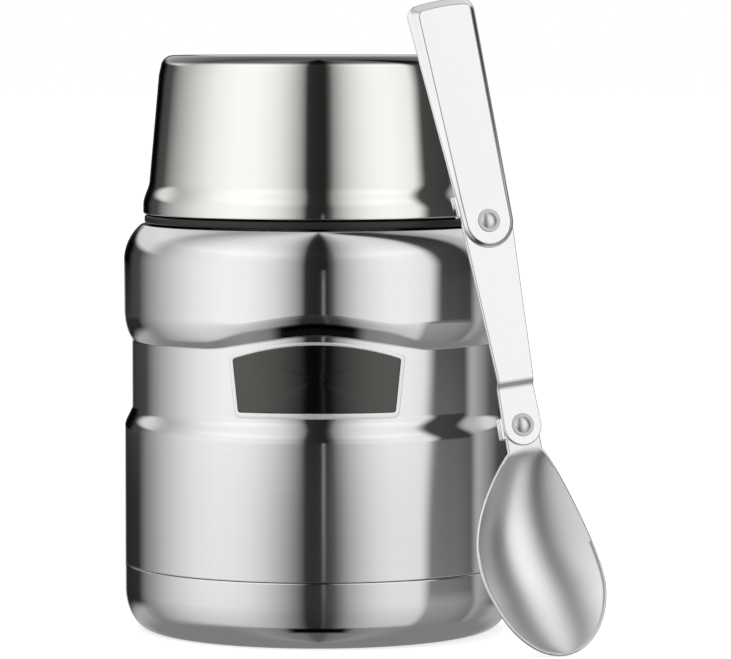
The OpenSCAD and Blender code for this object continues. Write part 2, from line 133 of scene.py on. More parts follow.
def noiseNode(tree, vector, scale, detail, roughness=0.5):
    return addNode(tree, "ShaderNodeTexNoise", {
        "Vector": vector, "Scale": scale, "Detail": detail, "Roughness": roughness},
        noise_dimensions="3D").outputs[0]


def splitXYZ(tree, vector):
    return addNode(tree, "ShaderNodeSeparateXYZ", {0: vector}).outputs


def joinXYZ(tree, x, y, z):
    return addNode(tree, "ShaderNodeCombineXYZ", {0: x, 1: y, 2: z}).outputs[0]


def objectCoords(tree):
    return addNode(tree, "ShaderNodeTexCoord").outputs["Object"]


def emptyMaterial(name):
    material = bpy.data.materials.new(name)
    material.use_nodes = True
    material.node_tree.nodes.clear()
    return material, material.node_tree


# studio: floor, white surround and a dome of soft panels that only the metal mirrors

studio = {
    "floorHalf": 9, "floorZ": -0.00002, "floorColor": 0.8, "floorLift": 0.62, "ambient": 0.5, "domeRadius": 4.0,
    # light of the panels by degrees round the object, 0 at the front, + to the right
    "panels": [(-180, 0.95), (-168, 0.85), (-162, 0.03), (-131, 0.07), (-122, 0.24), (-114, 0.38), (-90, 0.74),
               (-77, 0.92), (-58, 1.05), (-43, 1.03), (-33, 0.94), (-26, 0.83), (-19, 0.64), (-13, 0.42),
               (-9.5, 0.24), (-7, 0.025), (5.5, 0.015), (8.5, 0.1), (11, 0.29), (18, 0.57), (24, 0.75),
               (31, 0.89), (40, 0.99), (50, 1.02), (60, 0.97), (70, 0.88), (90, 0.74), (114, 0.38), (131, 0.1),
               (162, 0.04), (168, 0.85), (180, 0.95)],
    "lowPanels": [(-180, 0.85), (-168, 0.8), (-162, 0.02), (-133, 0.03), (-122, 0.25), (-113, 0.37),
                  (-104, 0.53), (-90, 0.73), (-77, 0.87), (-62, 0.93), (-50, 0.91), (-40, 0.84), (-30, 0.67),
                  (-21, 0.46), (-14, 0.27), (-9.5, 0.13), (-7, 0.035), (1, 0.035), (5, 0.06), (9, 0.09),
                  (12, 0.18), (18, 0.4), (26, 0.61), (35, 0.79), (45, 0.87), (58, 0.87), (75, 0.8), (90, 0.73),
                  (113, 0.37), (133, 0.05), (162, 0.04), (180, 0.85)],
    # share of that light by degrees down and up
    "downFall": [(0, 1.0), (7, 1.0), (9, 0.93), (14, 0.88), (21, 0.82), (29, 0.77), (36, 0.72), (90, 0.7)],
    "upFall": [(0, 1.0), (18, 1.0), (26, 1.04), (32, 1.12), (40, 1.02), (53, 0.88), (64, 0.8), (76, 0.75),
               (90, 0.6)],
    # below, a pair is (from, to) in degrees, and two more numbers are the values there
    "lowFrom": (-5.8, -3.4),  # the level where the low panels take over
    # a thin bright strip low in the dark gap at the front
    "stripAt": 3.4, "stripWide": (0.455, 1.3), "stripLight": 0.22, "stripTop": (-2, 1, 1.0, 0.0),
    "stripLow": (-7.5, -5, 0.25, 1.0),
    # lighter parts over and under the dark panels behind: sides, levels, light
    "rearLight": (((105, 128), (10, 16, 0.0, 1.0), 0.75), ((112, 135), (-17, -10, 1.0, 0.0), 0.5)),
    # a dark flag on the right, which shifts and lightens towards its foot
    "flag": (67, 80, 98, 110), "flagShift": (-6, -3, 6, 0),
    "flagLight": ((-6, -1, 0.16, 0.0), (-7.6, -6.8, 0.3, 0.07)),
    "behind": ((140, 152, 0.0, 0.95), (-3, -1, 0.0, 1.0), (8, 14, 1.0, 0.0)),  # a dark patch right behind
    "groundEdge": -43.5,  # where the panels end and the ground begins, at the front
    "groundRise": 10.0, "groundBlur": (30, 90, 2.5, 6.0),
    "ground": [(0, 0.1), (6, 0.11), (12, 0.18), (25, 0.21), (45, 0.3), (73, 0.24), (90, 0.24)],
    "lensWide": (17, 28), "lensLow": (-57, -52),  # the dark shape at the foot of the front gap
}


def makeFloor():
    half = studio["floorHalf"]
    mesh = bpy.data.meshes.new("studioFloor")
    mesh.from_pydata([(-half, -half, 0), (half, -half, 0), (half, half, 0), (-half, half, 0)], [], [(0, 1, 2, 3)])
    floor = link("studioFloor", mesh)
    floor.location = (0, 0, studio["floorZ"])
    floor.visible_glossy = False
    material, tree = emptyMaterial("floorPaint")
    diffuse = addNode(tree, "ShaderNodeBsdfDiffuse", {"Color": (studio["floorColor"],) * 3})
    direct = addNode(tree, "ShaderNodeLightPath").outputs["Is Camera Ray"]
    lift = addNode(tree, "ShaderNodeEmission", {"Strength": sums(tree).mul(direct, studio["floorLift"])})
    both = addNode(tree, "ShaderNodeAddShader", {0: diffuse.outputs[0], 1: lift.outputs[0]})
    addNode(tree, "ShaderNodeOutputMaterial", {"Surface": both.outputs[0]})
    mesh.materials.append(material)


def makeSurround():  # full light where it is seen or mirrored, less where it lights matt surfaces
    scene.world = bpy.data.worlds.new("studioWorld")
    scene.world.use_nodes = True
    tree = scene.world.node_tree
    tree.nodes.clear()
    m = sums(tree)
    rays = addNode(tree, "ShaderNodeLightPath").outputs
    seen = m.most(rays["Is Camera Ray"], m.most(rays["Is Glossy Ray"], rays["Is Transmission Ray"]))
    light = addNode(tree, "ShaderNodeBackground", {
        "Color": (1, 1, 1), "Strength": mixFloat(tree, seen, studio["ambient"], 1.0)})
    addNode(tree, "ShaderNodeOutputWorld", {"Surface": light.outputs[0]})


def panelLight():
    s = studio
    material, tree = emptyMaterial("panelLight")
    m = sums(tree)
    ease = partial(rangeNode, tree, smooth=True)

    def stepped(value, steps):  # light that follows a list of (place, light) pairs
        first, last = steps[0][0], steps[-1][0]
        ramp = addNode(tree, "ShaderNodeValToRGB", {0: rangeNode(tree, value, first, last)})
        stops = ramp.color_ramp.elements
        stops[0].position, stops[1].position = 0.0, 1.0
        for element, light in ((stops[0], steps[0][1]), (stops[1], steps[-1][1])):
            element.color = (light,) * 3 + (1,)
        for place, light in steps[1:-1]:
            stops.new((place - first) / (last - first)).color = (light,) * 3 + (1,)
        return ramp.outputs[0]

    x, y, z = splitXYZ(tree, objectCoords(tree))
    around = m.mul(m.calc("ARCTAN2", x, m.mul(y, -1.0)), 180 / math.pi)
    level = m.mul(m.calc("ARCSINE", m.div(z, s["domeRadius"])), 180 / math.pi)
    side = m.calc("ABSOLUTE", around)
    fromStrip = m.calc("ABSOLUTE", m.sub(around, s["stripAt"]))
    strip = m.mul(ease(fromStrip, *s["stripWide"], s["stripLight"], 0.0),
                  m.mul(ease(level, *s["stripTop"]), ease(level, *s["stripLow"])))
    pattern = m.add(strip, mixFloat(tree, ease(level, *s["lowFrom"], 0.0, 1.0),
                                    stepped(around, s["lowPanels"]), stepped(around, s["panels"])))
    for sides, levels, light in s["rearLight"]:
        pattern = mixFloat(tree, m.mul(ease(side, *sides, 0.0, 1.0), ease(level, *levels)), pattern, light)
    flagIn, flagDark, flagEnd, flagOut = s["flag"]
    shifted = m.add(around, ease(level, *s["flagShift"]))
    flag = m.most(m.most(ease(shifted, flagIn, flagDark, 1.0, 0.0), ease(around, flagEnd, flagOut, 0.0, 1.0)),
                  m.add(*(ease(level, *values) for values in s["flagLight"])))
    sides, low, high = s["behind"]
    behind = m.sub(1.0, m.mul(ease(side, *sides), m.mul(ease(level, *low), ease(level, *high))))
    falls = m.mul(stepped(level, s["upFall"]), stepped(m.mul(level, -1.0), s["downFall"]))
    lit = m.mul(m.mul(pattern, m.mul(flag, behind)), falls)
    edge = m.add(s["groundEdge"] + s["groundRise"],
                 m.mul(m.calc("COSINE", m.mul(around, math.pi / 180)), -s["groundRise"]))
    toGround = ease(m.div(m.sub(level, edge), ease(side, *s["groundBlur"])), -1, 1, 1.0, 0.0)
    lens = m.mul(ease(side, *s["lensWide"], 1.0, 0.0), ease(level, *s["lensLow"], 0.0, 1.0))
    ground = m.mul(stepped(side, s["ground"]), m.sub(1.0, lens))
    glow = addNode(tree, "ShaderNodeEmission", {"Strength": mixFloat(tree, toGround, lit, ground)})
    addNode(tree, "ShaderNodeOutputMaterial", {"Surface": glow.outputs[0]})
    material.cycles.emission_sampling = "NONE"
    return material


def makeDome():
    mesh = bpy.data.meshes.new("panelDome")
    bm = bmesh.new()
    bmesh.ops.create_uvsphere(bm, u_segments=96, v_segments=48, radius=studio["domeRadius"])
    bmesh.ops.reverse_faces(bm, faces=bm.faces)
    bm.to_mesh(mesh)
    bm.free()
    dome = link("panelDome", mesh)
    dome.visible_camera = False
    dome.visible_diffuse = False
    dome.visible_shadow = False
    dome.visible_volume_scatter = False
    mesh.materials.append(panelLight())


makeFloor()
makeSurround()
makeDome()
print("studio ready")


# shader groups for grain and marks

def addSockets(tree, sockets):  # a word is the socket's kind, a number its default value
    for label, value in sockets.items():
        kind = {int: "Int", float: "Float"}.get(type(value), value)
        socket = tree.interface.new_socket(label, in_out="INPUT", socket_type="NodeSocket" + kind)
        if kind != value:
            socket.default_value = value


def shaderGroup(name, inputs, outputs):
    group = bpy.data.node_groups.new(name, "ShaderNodeTree")
    addSockets(group, {"Vector": "Vector", **inputs})
    for label in outputs:
        group.interface.new_socket(label, in_out="OUTPUT", socket_type="NodeSocketFloat")
    given = addNode(group, "NodeGroupInput").outputs
    return group, given, addNode(group, "NodeGroupOutput").inputs


def grainNoise(group, result, vector, streakScale):
    feed(group, result["Fac"], noiseNode(group, vector, 1.0, 3.0))
    feed(group, result["Streak"], noiseNode(group, vector, streakScale, 2.0))


def makeTurnedGrain():  # fine lines that run round the jar's axis
    group, given, result = shaderGroup("turnedGrain", {"Lines": 3000.0, "Length": 1.5}, ["Fac", "Streak"])
    m = sums(group)
    x, y, z = splitXYZ(group, given["Vector"])
    radius = m.most(m.calc("SQRT", m.add(m.mul(x, x), m.mul(y, y))), 1e-5)
    turned = joinXYZ(group, m.mul(m.div(x, radius), given["Length"]), m.mul(m.div(y, radius), given["Length"]),
                     m.mul(m.add(z, radius), given["Lines"]))
    grainNoise(group, result, turned, 0.13)
    return group


def makeLengthGrain():  # fine lines along a straight piece, whose Vector runs lengthwise in Y
    group, given, result = shaderGroup("lengthGrain", {"Lines": 3000.0, "Stretch": 0.03}, ["Fac", "Streak"])
    m = sums(group)
    x, y, z = splitXYZ(group, given["Vector"])
    lines = given["Lines"]
    drawn = joinXYZ(group, m.mul(x, lines), m.mul(y, m.mul(lines, given["Stretch"])), m.mul(z, lines))
    grainNoise(group, result, drawn, 0.12)
    return group


def makeHandling():  # soft marks of handling: broad clouds and a few faint specks
    group, given, result = shaderGroup("handling", {"Size": 60.0}, ["Cloud", "Specks"])
    feed(group, result["Cloud"], noiseNode(group, given["Vector"], given["Size"], 3.0, 0.6))
    specks = addNode(group, "ShaderNodeTexVoronoi", {
        "Vector": given["Vector"], "Scale": sums(group).mul(given["Size"], 9.0)}, feature="F1")
    feed(group, result["Specks"], rangeNode(group, specks.outputs["Distance"], 0.02, 0.09, 1.0, 0.0, smooth=True))
    return group


turnedGrain, lengthGrain, handling = makeTurnedGrain(), makeLengthGrain(), makeHandling()


def placeGroup(tree, group, vector, **values):
    return addNode(tree, "ShaderNodeGroup", {"Vector": vector, **values}, node_tree=group)


# materials

spoonStand = {"at": (39.6958, -42.3013, 100.4469), "turn": 18.0, "lean": 11.2, "tilt": 7.1}
spoonTurn = (Matrix.Rotation(math.radians(spoonStand["turn"]), 4, "Z")
             @ Matrix.Rotation(math.radians(90 - spoonStand["lean"]), 4, "X")
             @ Matrix.Rotation(math.radians(spoonStand["tilt"]), 4, "Z"))


def principled(tree, color, roughness, metallic):
    shader = addNode(tree, "ShaderNodeBsdfPrincipled", {
        "Base Color": color, "Roughness": roughness, "Metallic": metallic, "Specular IOR Level": 0.5, "IOR": 1.45})
    addNode(tree, "ShaderNodeOutputMaterial", {"Surface": shader.outputs[0]})
    return shader


def addBump(tree, shader, height, depth, strength=1.0):
    bump = addNode(tree, "ShaderNodeBump", {"Strength": strength, "Distance": depth * mm, "Height": height})
    feed(tree, shader.inputs["Normal"], bump.outputs[0])


def steel(name, color, shade, roughness, spread, lines, depth, grain="turned", marks=0.02, rim=None):
    material, tree = emptyMaterial(name)
    m = sums(tree)
    coords = objectCoords(tree)
    if grain == "turned":
        lined = placeGroup(tree, turnedGrain, coords, Lines=lines / mm)
    else:
        turn = addNode(tree, "ShaderNodeMapping", {"Vector": coords, "Rotation": spoonTurn.inverted().to_euler()},
                       vector_type="POINT")
        lined = placeGroup(tree, lengthGrain, turn.outputs[0], Lines=lines / mm)
    worn = placeGroup(tree, handling, coords, Size=45.0)
    tone = m.add(m.mul(lined.outputs["Streak"], 0.6), m.mul(worn.outputs["Cloud"], 0.4))
    paint = mixColor(tree, rangeNode(tree, tone, 0.3, 0.7), shade, color)
    # painted dark reflection: where rim is given, its darker colour is mixed into the steel's colour over a band set
    # by height and radius
    if rim:
        x, y, z = splitXYZ(tree, coords)
        radius = m.calc("SQRT", m.add(m.mul(x, x), m.mul(y, y)))
        paintedReflectionMasks = [rangeNode(tree, value, low * mm, high * mm, smooth=True)
                 for value, (low, high) in ((z, rim["height"]), (radius, rim["radius"]))]
        paint = mixColor(tree, m.mul(*paintedReflectionMasks), paint, rim["color"])
    fine = rangeNode(tree, lined.outputs["Fac"], 0.25, 0.75, roughness - spread, roughness + spread)
    shader = principled(tree, paint, m.add(fine, m.mul(worn.outputs["Specks"], marks)), 1.0)
    addBump(tree, shader, lined.outputs["Fac"], depth, 0.6)
    return material


def moulded(name, color, shade, roughness, spread, grainSize, depth, metallic=0.0):
    material, tree = emptyMaterial(name)
    coords = objectCoords(tree)
    worn = placeGroup(tree, handling, coords, Size=35.0)
    paint = mixColor(tree, rangeNode(tree, worn.outputs["Cloud"], 0.3, 0.7), shade, color)
    fine = noiseNode(tree, coords, grainSize, 2.0)
    shader = principled(tree, paint, rangeNode(tree, fine, 0.3, 0.7, roughness - spread, roughness + spread),
                        metallic)
    addBump(tree, shader, fine, depth)
    return material


def crinkledFoil(name, color, shade):
    material, tree = emptyMaterial(name)
    coords = objectCoords(tree)
    worn = placeGroup(tree, handling, coords, Size=70.0)
    folds = addNode(tree, "ShaderNodeTexVoronoi", {"Vector": coords, "Scale": 130.0}, feature="DISTANCE_TO_EDGE")
    creases = folds.outputs["Distance"]
    shader = principled(tree, mixColor(tree, worn.outputs["Cloud"], shade, color),
                        rangeNode(tree, creases, 0.0, 0.3, 0.34, 0.2), 1.0)
    addBump(tree, shader, creases, 0.3, 0.5)
    return material


# painted reflection: a darker band round the lid's upper edge, painted into the lid's colour in place of the dark
# surround that the edge mirrors; heights and radii in mm
paintedLidReflection = {"height": (136.6, 137.3), "radius": (32.0, 33.5), "color": (0.16, 0.155, 0.15)}
spoonGrain = {"grain": "length", "marks": 0.0}
steels = {  # colour, shade, roughness, its spread, lines per mm, their depth in mm, further values
    "bodySteel": ((0.835, 0.84, 0.845), (0.81, 0.815, 0.82), 0.075, 0.015, 9.0, 0.0003, {}),
    "lidSteel": ((0.93, 0.915, 0.885), (0.91, 0.89, 0.855), 0.075, 0.015, 11.0, 0.0003, {"rim": paintedLidReflection}),
    "innerSteel": ((0.74, 0.745, 0.75), (0.68, 0.685, 0.69), 0.27, 0.06, 6.0, 0.002, {}),
    "spoonSteel": ((0.94, 0.94, 0.935), (0.93, 0.93, 0.925), 0.2, 0.02, 7.0, 0.0004, spoonGrain),
    "bowlSteel": ((0.97, 0.97, 0.97), (0.96, 0.96, 0.96), 0.34, 0.02, 7.0, 0.0004, spoonGrain),
    "rivetSteel": ((0.92, 0.92, 0.92), (0.88, 0.88, 0.88), 0.34, 0.04, 5.0, 0.0004, spoonGrain),
    "washerSteel": ((0.66, 0.66, 0.66), (0.6, 0.6, 0.6), 0.35, 0.04, 5.0, 0.0006, {"grain": "length"}),
}
mouldings = {  # colour, shade, roughness, its spread, scale of the grain, its depth in mm, metallic
    "blackPlastic": ((0.022, 0.022, 0.024), (0.016, 0.016, 0.018), 0.36, 0.06, 5200.0, 0.006),
    "plateEnamel": ((0.10, 0.096, 0.09), (0.092, 0.088, 0.083), 0.1, 0.02, 2500.0, 0.0006, 1.0),
    "framePaint": ((0.99, 0.99, 0.99), (0.97, 0.97, 0.97), 0.16, 0.03, 2500.0, 0.0006, 0.5),
    "sealRubber": ((0.74, 0.74, 0.71), (0.68, 0.68, 0.65), 0.45, 0.06, 1800.0, 0.006),
    "insulation": ((0.82, 0.76, 0.55), (0.74, 0.68, 0.47), 0.85, 0.08, 2600.0, 0.12),
    "braze": ((0.42, 0.30, 0.12), (0.34, 0.24, 0.10), 0.4, 0.08, 1500.0, 0.01),
    "getterMetal": ((0.16, 0.16, 0.17), (0.11, 0.11, 0.12), 0.6, 0.1, 3500.0, 0.02),
}
finish = {name: steel(name, *values, **further) for name, (*values, further) in steels.items()}
finish.update({name: moulded(name, *values) for name, values in mouldings.items()})
finish["copperFoil"] = crinkledFoil("copperFoil", (0.88, 0.55, 0.38), (0.72, 0.40, 0.25))
print("materials ready:", len(finish))

# finish, body and slot of the pieces
jarSteel = ("bodySteel", "jar", "body_steel")
vesselSteel = ("innerSteel", "jar", "inner_steel")
stopperBlack = ("blackPlastic", "stopper", "black_plastic")
lidBlack = ("blackPlastic", "lid_thread", "black_plastic")


# mesh helpers, in mm

def rounded(corners, closed=False, steps=6, support=0.15):
    # corners are (u, v) or (u, v, fillet); straight runs get extra points close to each fillet
    count = len(corners)
    out = []
    for i, corner in enumerate(corners):
        here = Vector(corner[:2])
        fillet = corner[2] if len(corner) > 2 else 0.0
        atEnd = not closed and i in (0, count - 1)
        if fillet <= 0 or atEnd:
            out.append(here)
            continue
        before = Vector(corners[i - 1][:2]) - here
        after = Vector(corners[(i + 1) % count][:2]) - here
        back, on = before.normalized(), after.normalized()
        half = before.angle(after) / 2
        setback = min(fillet / math.tan(half), before.length * 0.49, after.length * 0.49)
        start, end = here + back * setback, here + on * setback
        if before.length > setback + 3 * support:
            out.append(start + back * support)
        radius = setback * math.tan(half)
        centre = here + (back + on).normalized() * (radius / math.sin(half))
        fromAngle = math.atan2(start.y - centre.y, start.x - centre.x)
        sweep = math.atan2(end.y - centre.y, end.x - centre.x) - fromAngle
        sweep = (sweep + math.pi) % (2 * math.pi) - math.pi
        for k in range(steps + 1):
            angle = fromAngle + sweep * k / steps
            out.append(centre + radius * Vector((math.cos(angle), math.sin(angle))))
        if after.length > setback + 3 * support:
            out.append(end + on * support)
    return out


def closedProfile(corners, **options):
    loop = rounded(corners, closed=True, **options)
    return loop + [loop[0]]


def arcPoints(cx, cy, r, fromDeg, toDeg, steps):
    turns = [math.radians(fromDeg + (toDeg - fromDeg) * k / steps) for k in range(steps + 1)]
    return [(cx + r * math.cos(a), cy + r * math.sin(a)) for a in turns]


def between(first, last, count):
    return [(first[0] + (last[0] - first[0]) * k / count, first[1] + (last[1] - first[1]) * k / count)
            for k in range(1, count)]


def evenly(low, high, step):
    count = max(1, round((high - low) / step))
    return [low + (high - low) * i / count for i in range(count)]


def smoothStep(t):
    t = min(1.0, max(0.0, t))
    return t * t * (3 - 2 * t)


def stitch(count, length):  # quads between `count` loops of `length` points each
    faces = []
    for i in range(count - 1):
        for j in range(length):
            k = (j + 1) % length
            faces.append((i * length + j, i * length + k, (i + 1) * length + k, (i + 1) * length + j))
    return faces


def rawMesh(name, points, faces):
    mesh = bpy.data.meshes.new(name)
    mesh.from_pydata([Vector(p) * mm for p in points], [], faces)
    return mesh


def loopMesh(name, loops):
    return rawMesh(name, [q for loop in loops for q in loop], stitch(len(loops), len(loops[0])))


def addPiece(name, mesh, look, nodes=(), place=None, sharp=35):
    finishName, body, slotName = look
    if place:
        mesh.transform(place)
    bm = bmesh.new()
    bm.from_mesh(mesh)
    bmesh.ops.remove_doubles(bm, verts=bm.verts, dist=1e-6)
    bmesh.ops.dissolve_degenerate(bm, edges=bm.edges, dist=1e-7)
    bmesh.ops.recalc_face_normals(bm, faces=bm.faces)
    bm.to_mesh(mesh)
    bm.free()
    mesh.shade_smooth()
    mesh.set_sharp_from_angle(angle=math.radians(sharp))
    mesh.materials.clear()
    mesh.materials.append(finish[finishName])
    piece = link(name, mesh)
    piece.visible_glossy = not body.startswith("spoon")  # nothing mirrors the spoon
    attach(piece, body)
    if nodes:
        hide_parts(*nodes)


# Geometry Nodes: turned pieces and thread ridges

def geometryTree(name, sockets):
    tree = bpy.data.node_groups.new(name, "GeometryNodeTree")
    addSockets(tree, {"Geometry": "Geometry", **sockets, "Material": "Material"})
    tree.interface.new_socket("Geometry", in_out="OUTPUT", socket_type="NodeSocketGeometry")
    given = addNode(tree, "NodeGroupInput").outputs
    return tree, given, addNode(tree, "NodeGroupOutput").inputs


def endTree(tree, given, result, geometry):
    for kind in ("SetShadeSmooth", "RealizeInstances", "SetMaterial"):
        node = addNode(tree, "GeometryNode" + kind, {0: geometry})
        geometry = node.outputs[0]
    feed(tree, node.inputs["Material"], given["Material"])
    feed(tree, result[0], geometry)


def makeTurnedTree():
    tree, given, result = geometryTree("turnedPiece", {
        "Segments": 192, "Flutes": 1, "Flute Radius": 0.0, "Flute Centre": 1.0, "Flute From": 1.0,
        "Flute Reach": 1.0})
    m = sums(tree)
    size = addNode(tree, "GeometryNodeAttributeDomainSize", {0: given["Geometry"]}, component="MESH")
    rows = size.outputs["Point Count"]
    grid = addNode(tree, "GeometryNodeMeshGrid", {"Vertices X": m.add(given["Segments"], 1), "Vertices Y": rows})
    index = addNode(tree, "GeometryNodeInputIndex").outputs[0]
    column = m.calc("FLOOR", m.div(m.add(index, 0.25), rows))
    row = m.sub(index, m.mul(column, rows))
    position = addNode(tree, "GeometryNodeInputPosition").outputs[0]
    sample = addNode(tree, "GeometryNodeSampleIndex", {
        "Geometry": given["Geometry"], "Value": position, "Index": row}, data_type="FLOAT_VECTOR", domain="POINT")
    radius, _, height = splitXYZ(tree, sample.outputs[0])
    share = m.div(column, given["Segments"])
    # the distance from the nearest flute, as an angle
    phase = m.calc("FRACT", m.add(m.mul(share, given["Flutes"]), 0.5))
    off = m.div(m.mul(m.sub(phase, 0.5), 2 * math.pi), given["Flutes"])
    centre = given["Flute Centre"]
    across = m.mul(centre, m.calc("SINE", off))
    inside = m.sub(m.calc("POWER", given["Flute Radius"], 2.0), m.mul(across, across))
    cutTo = m.sub(m.mul(centre, m.calc("COSINE", off)), m.calc("SQRT", m.most(inside, 0.0)))
    isCut = m.mul(m.above(inside, 0.0), m.mul(m.above(height, given["Flute From"]),
                                              m.above(radius, given["Flute Reach"])))
    fluted = mixFloat(tree, isCut, radius, m.least(radius, cutTo))
    turn = addNode(tree, "ShaderNodeVectorRotate", {
        "Vector": joinXYZ(tree, fluted, 0.0, height), "Angle": m.mul(share, 2 * math.pi)}, rotation_type="Z_AXIS")
    place = addNode(tree, "GeometryNodeSetPosition", {"Geometry": grid.outputs[0], "Position": turn.outputs[0]})
    weld = addNode(tree, "GeometryNodeMergeByDistance", {0: place.outputs[0], "Distance": 1e-6})
    endTree(tree, given, result, weld.outputs[0])
    return tree


def makeRidgeTree():
    tree, given, result = geometryTree("threadRidge", {
        "Radius": 0.03, "Bead": 0.0008, "Turns": 1.5, "Rise": 0.005, "Start": 0.1})
    m = sums(tree)
    path = addNode(tree, "GeometryNodeCurveSpiral", {
        "Resolution": 96, "Start Radius": given["Radius"], "End Radius": given["Radius"],
        "Rotations": given["Turns"], "Height": given["Rise"]})
    bead = addNode(tree, "GeometryNodeCurvePrimitiveCircle", {"Resolution": 16, "Radius": given["Bead"]})
    along = addNode(tree, "GeometryNodeSplineParameter").outputs["Factor"]
    fromEnd = m.least(along, m.sub(1.0, along))
    swept = addNode(tree, "GeometryNodeCurveToMesh", {
        "Curve": path.outputs[0], "Profile Curve": bead.outputs[0], "Fill Caps": True,
        "Scale": rangeNode(tree, fromEnd, 0.0, 0.05, 0.3, 1.0, smooth=True)})
    move = addNode(tree, "GeometryNodeTransform", {
        "Geometry": swept.outputs[0], "Translation": joinXYZ(tree, 0.0, 0.0, given["Start"])})
    endTree(tree, given, result, move.outputs[0])
    return tree


turnedTree, ridgeTree = makeTurnedTree(), makeRidgeTree()


def runTree(name, tree, mesh, material, values):
    holder = link(name + "Seed", mesh)
    modifier = holder.modifiers.new("shape", "NODES")
    modifier.node_group = tree
    ids = {item.name: item.identifier for item in tree.interface.items_tree if item.in_out == "INPUT"}
    for key, value in {**values, "Material": material}.items():
        modifier[ids[key]] = value
    bpy.context.view_layer.update()
    made = bpy.data.meshes.new_from_object(holder.evaluated_get(bpy.context.evaluated_depsgraph_get()))
    holder.modifiers.remove(modifier)
    bpy.data.objects.remove(holder)
    made.name = name
    return made


def turned(name, profile, look, nodes=(), segments=256, place=None, **flutes):
    seed = bpy.data.meshes.new(name + "Profile")
    seed.from_pydata([(u * mm, 0, v * mm) for u, v in profile], [(i, i + 1) for i in range(len(profile) - 1)], [])
    mesh = runTree(name, turnedTree, seed, finish[look[0]], {"Segments": segments, **flutes})
    addPiece(name, mesh, look, nodes, place)


def ridge(name, look, radius, bead, turns, rise, start):
    mesh = runTree(name, ridgeTree, bpy.data.meshes.new(name + "Path"), finish[look[0]], {
        "Radius": radius * mm, "Bead": bead * mm, "Turns": turns, "Rise": rise * mm, "Start": start * mm})
    addPiece(name, mesh, look)


# jar body: shell whose upper slope rises in an arch over the plate

shell = {
    "bodyR": 47.1, "waistR": 45.3, "wall": 0.6, "seamZ": 16.2, "edge": 0.22, "edgeRun": 3,
    "lowerSlope": (49.0, 54.4), "midZ": 57.7,
    "footZ": 70.05, "archZ": 75.03, "archLean": 0.2, "archRound": 1.3, "archSoft": 0.6,
    # (height over the foot, slope) at the middle of the front and at the sides
    "midSlope": ((0.0, 0.0), (0.4, 0.47), (1.85, 0.47), (3.6, 0.35), (4.1, 0.3), (5.3, 0.0)),
    "sideSlope": ((0.0, 0.0), (0.4, 0.56), (1.2, 0.56), (1.9, 0.39), (4.3, 0.19), (7.0, 0.0)),
    "midTo": (16.0, 26.0),
    "shoulderFrom": 89.2, "shoulderZ": 98.1, "shoulderRound": 11.5, "shoulderEnd": 46.0, "shoulderFillet": 0.7,
    "flatR": (39.0, 36.0), "innerFlatR": 42.2, "neckR": 32.13, "neckEdge": 0.2, "neckRun": 3,
    # columns in degrees and rows in mm: (from, to, step)
    "columns": ((-180, -40.0, 1.6), (-40.0, 40.0, 0.5), (40.0, 180, 1.6)),
    "rows": ((20, 47, 9), (47.5, 56, 0.35), (58, 70, 4), (68, 69.8, 0.6), (69.8, 79.4, 0.12)),
    "topRows": [79.8, 81, 83, 86],
    "innerRows": ((20, 50, 10), (48, 56, 0.6), (62, 63, 1), (68, 81, 0.6), (82, 90, 4)),
}


def softMin(a, b, soft):
    near = max(soft - abs(a - b), 0.0) / soft
    return min(a, b) - near * near * soft / 4


def shellRadius(angle, z):
    s = shell
    step = s["bodyR"] - s["waistR"]
    low, high = s["lowerSlope"]
    if z < s["midZ"]:
        return s["bodyR"] - step * smoothStep((z - low) / (high - low))
    across = s["waistR"] * math.sin(min(abs(angle), math.pi / 2))
    arch = s["archZ"] - math.hypot(s["archLean"] * across, s["archRound"])
    foot = -softMin(-s["footZ"], -arch, s["archSoft"])
    near, far = s["midTo"]
    share = smoothStep((far - across) / (far - near))
    knots = [(b[0] + (a[0] - b[0]) * share, b[1] + (a[1] - b[1]) * share)
             for a, b in zip(s["midSlope"], s["sideSlope"])]
    grown = whole = 0.0
    for (h0, s0), (h1, s1) in zip(knots, knots[1:]):
        whole += (h1 - h0) * (s0 + s1) / 2
        reach = min(max(z - foot - h0, 0.0), h1 - h0)
        grown += reach * (s0 + (s1 - s0) * reach / (h1 - h0) / 2)
    return s["waistR"] + step * grown / whole


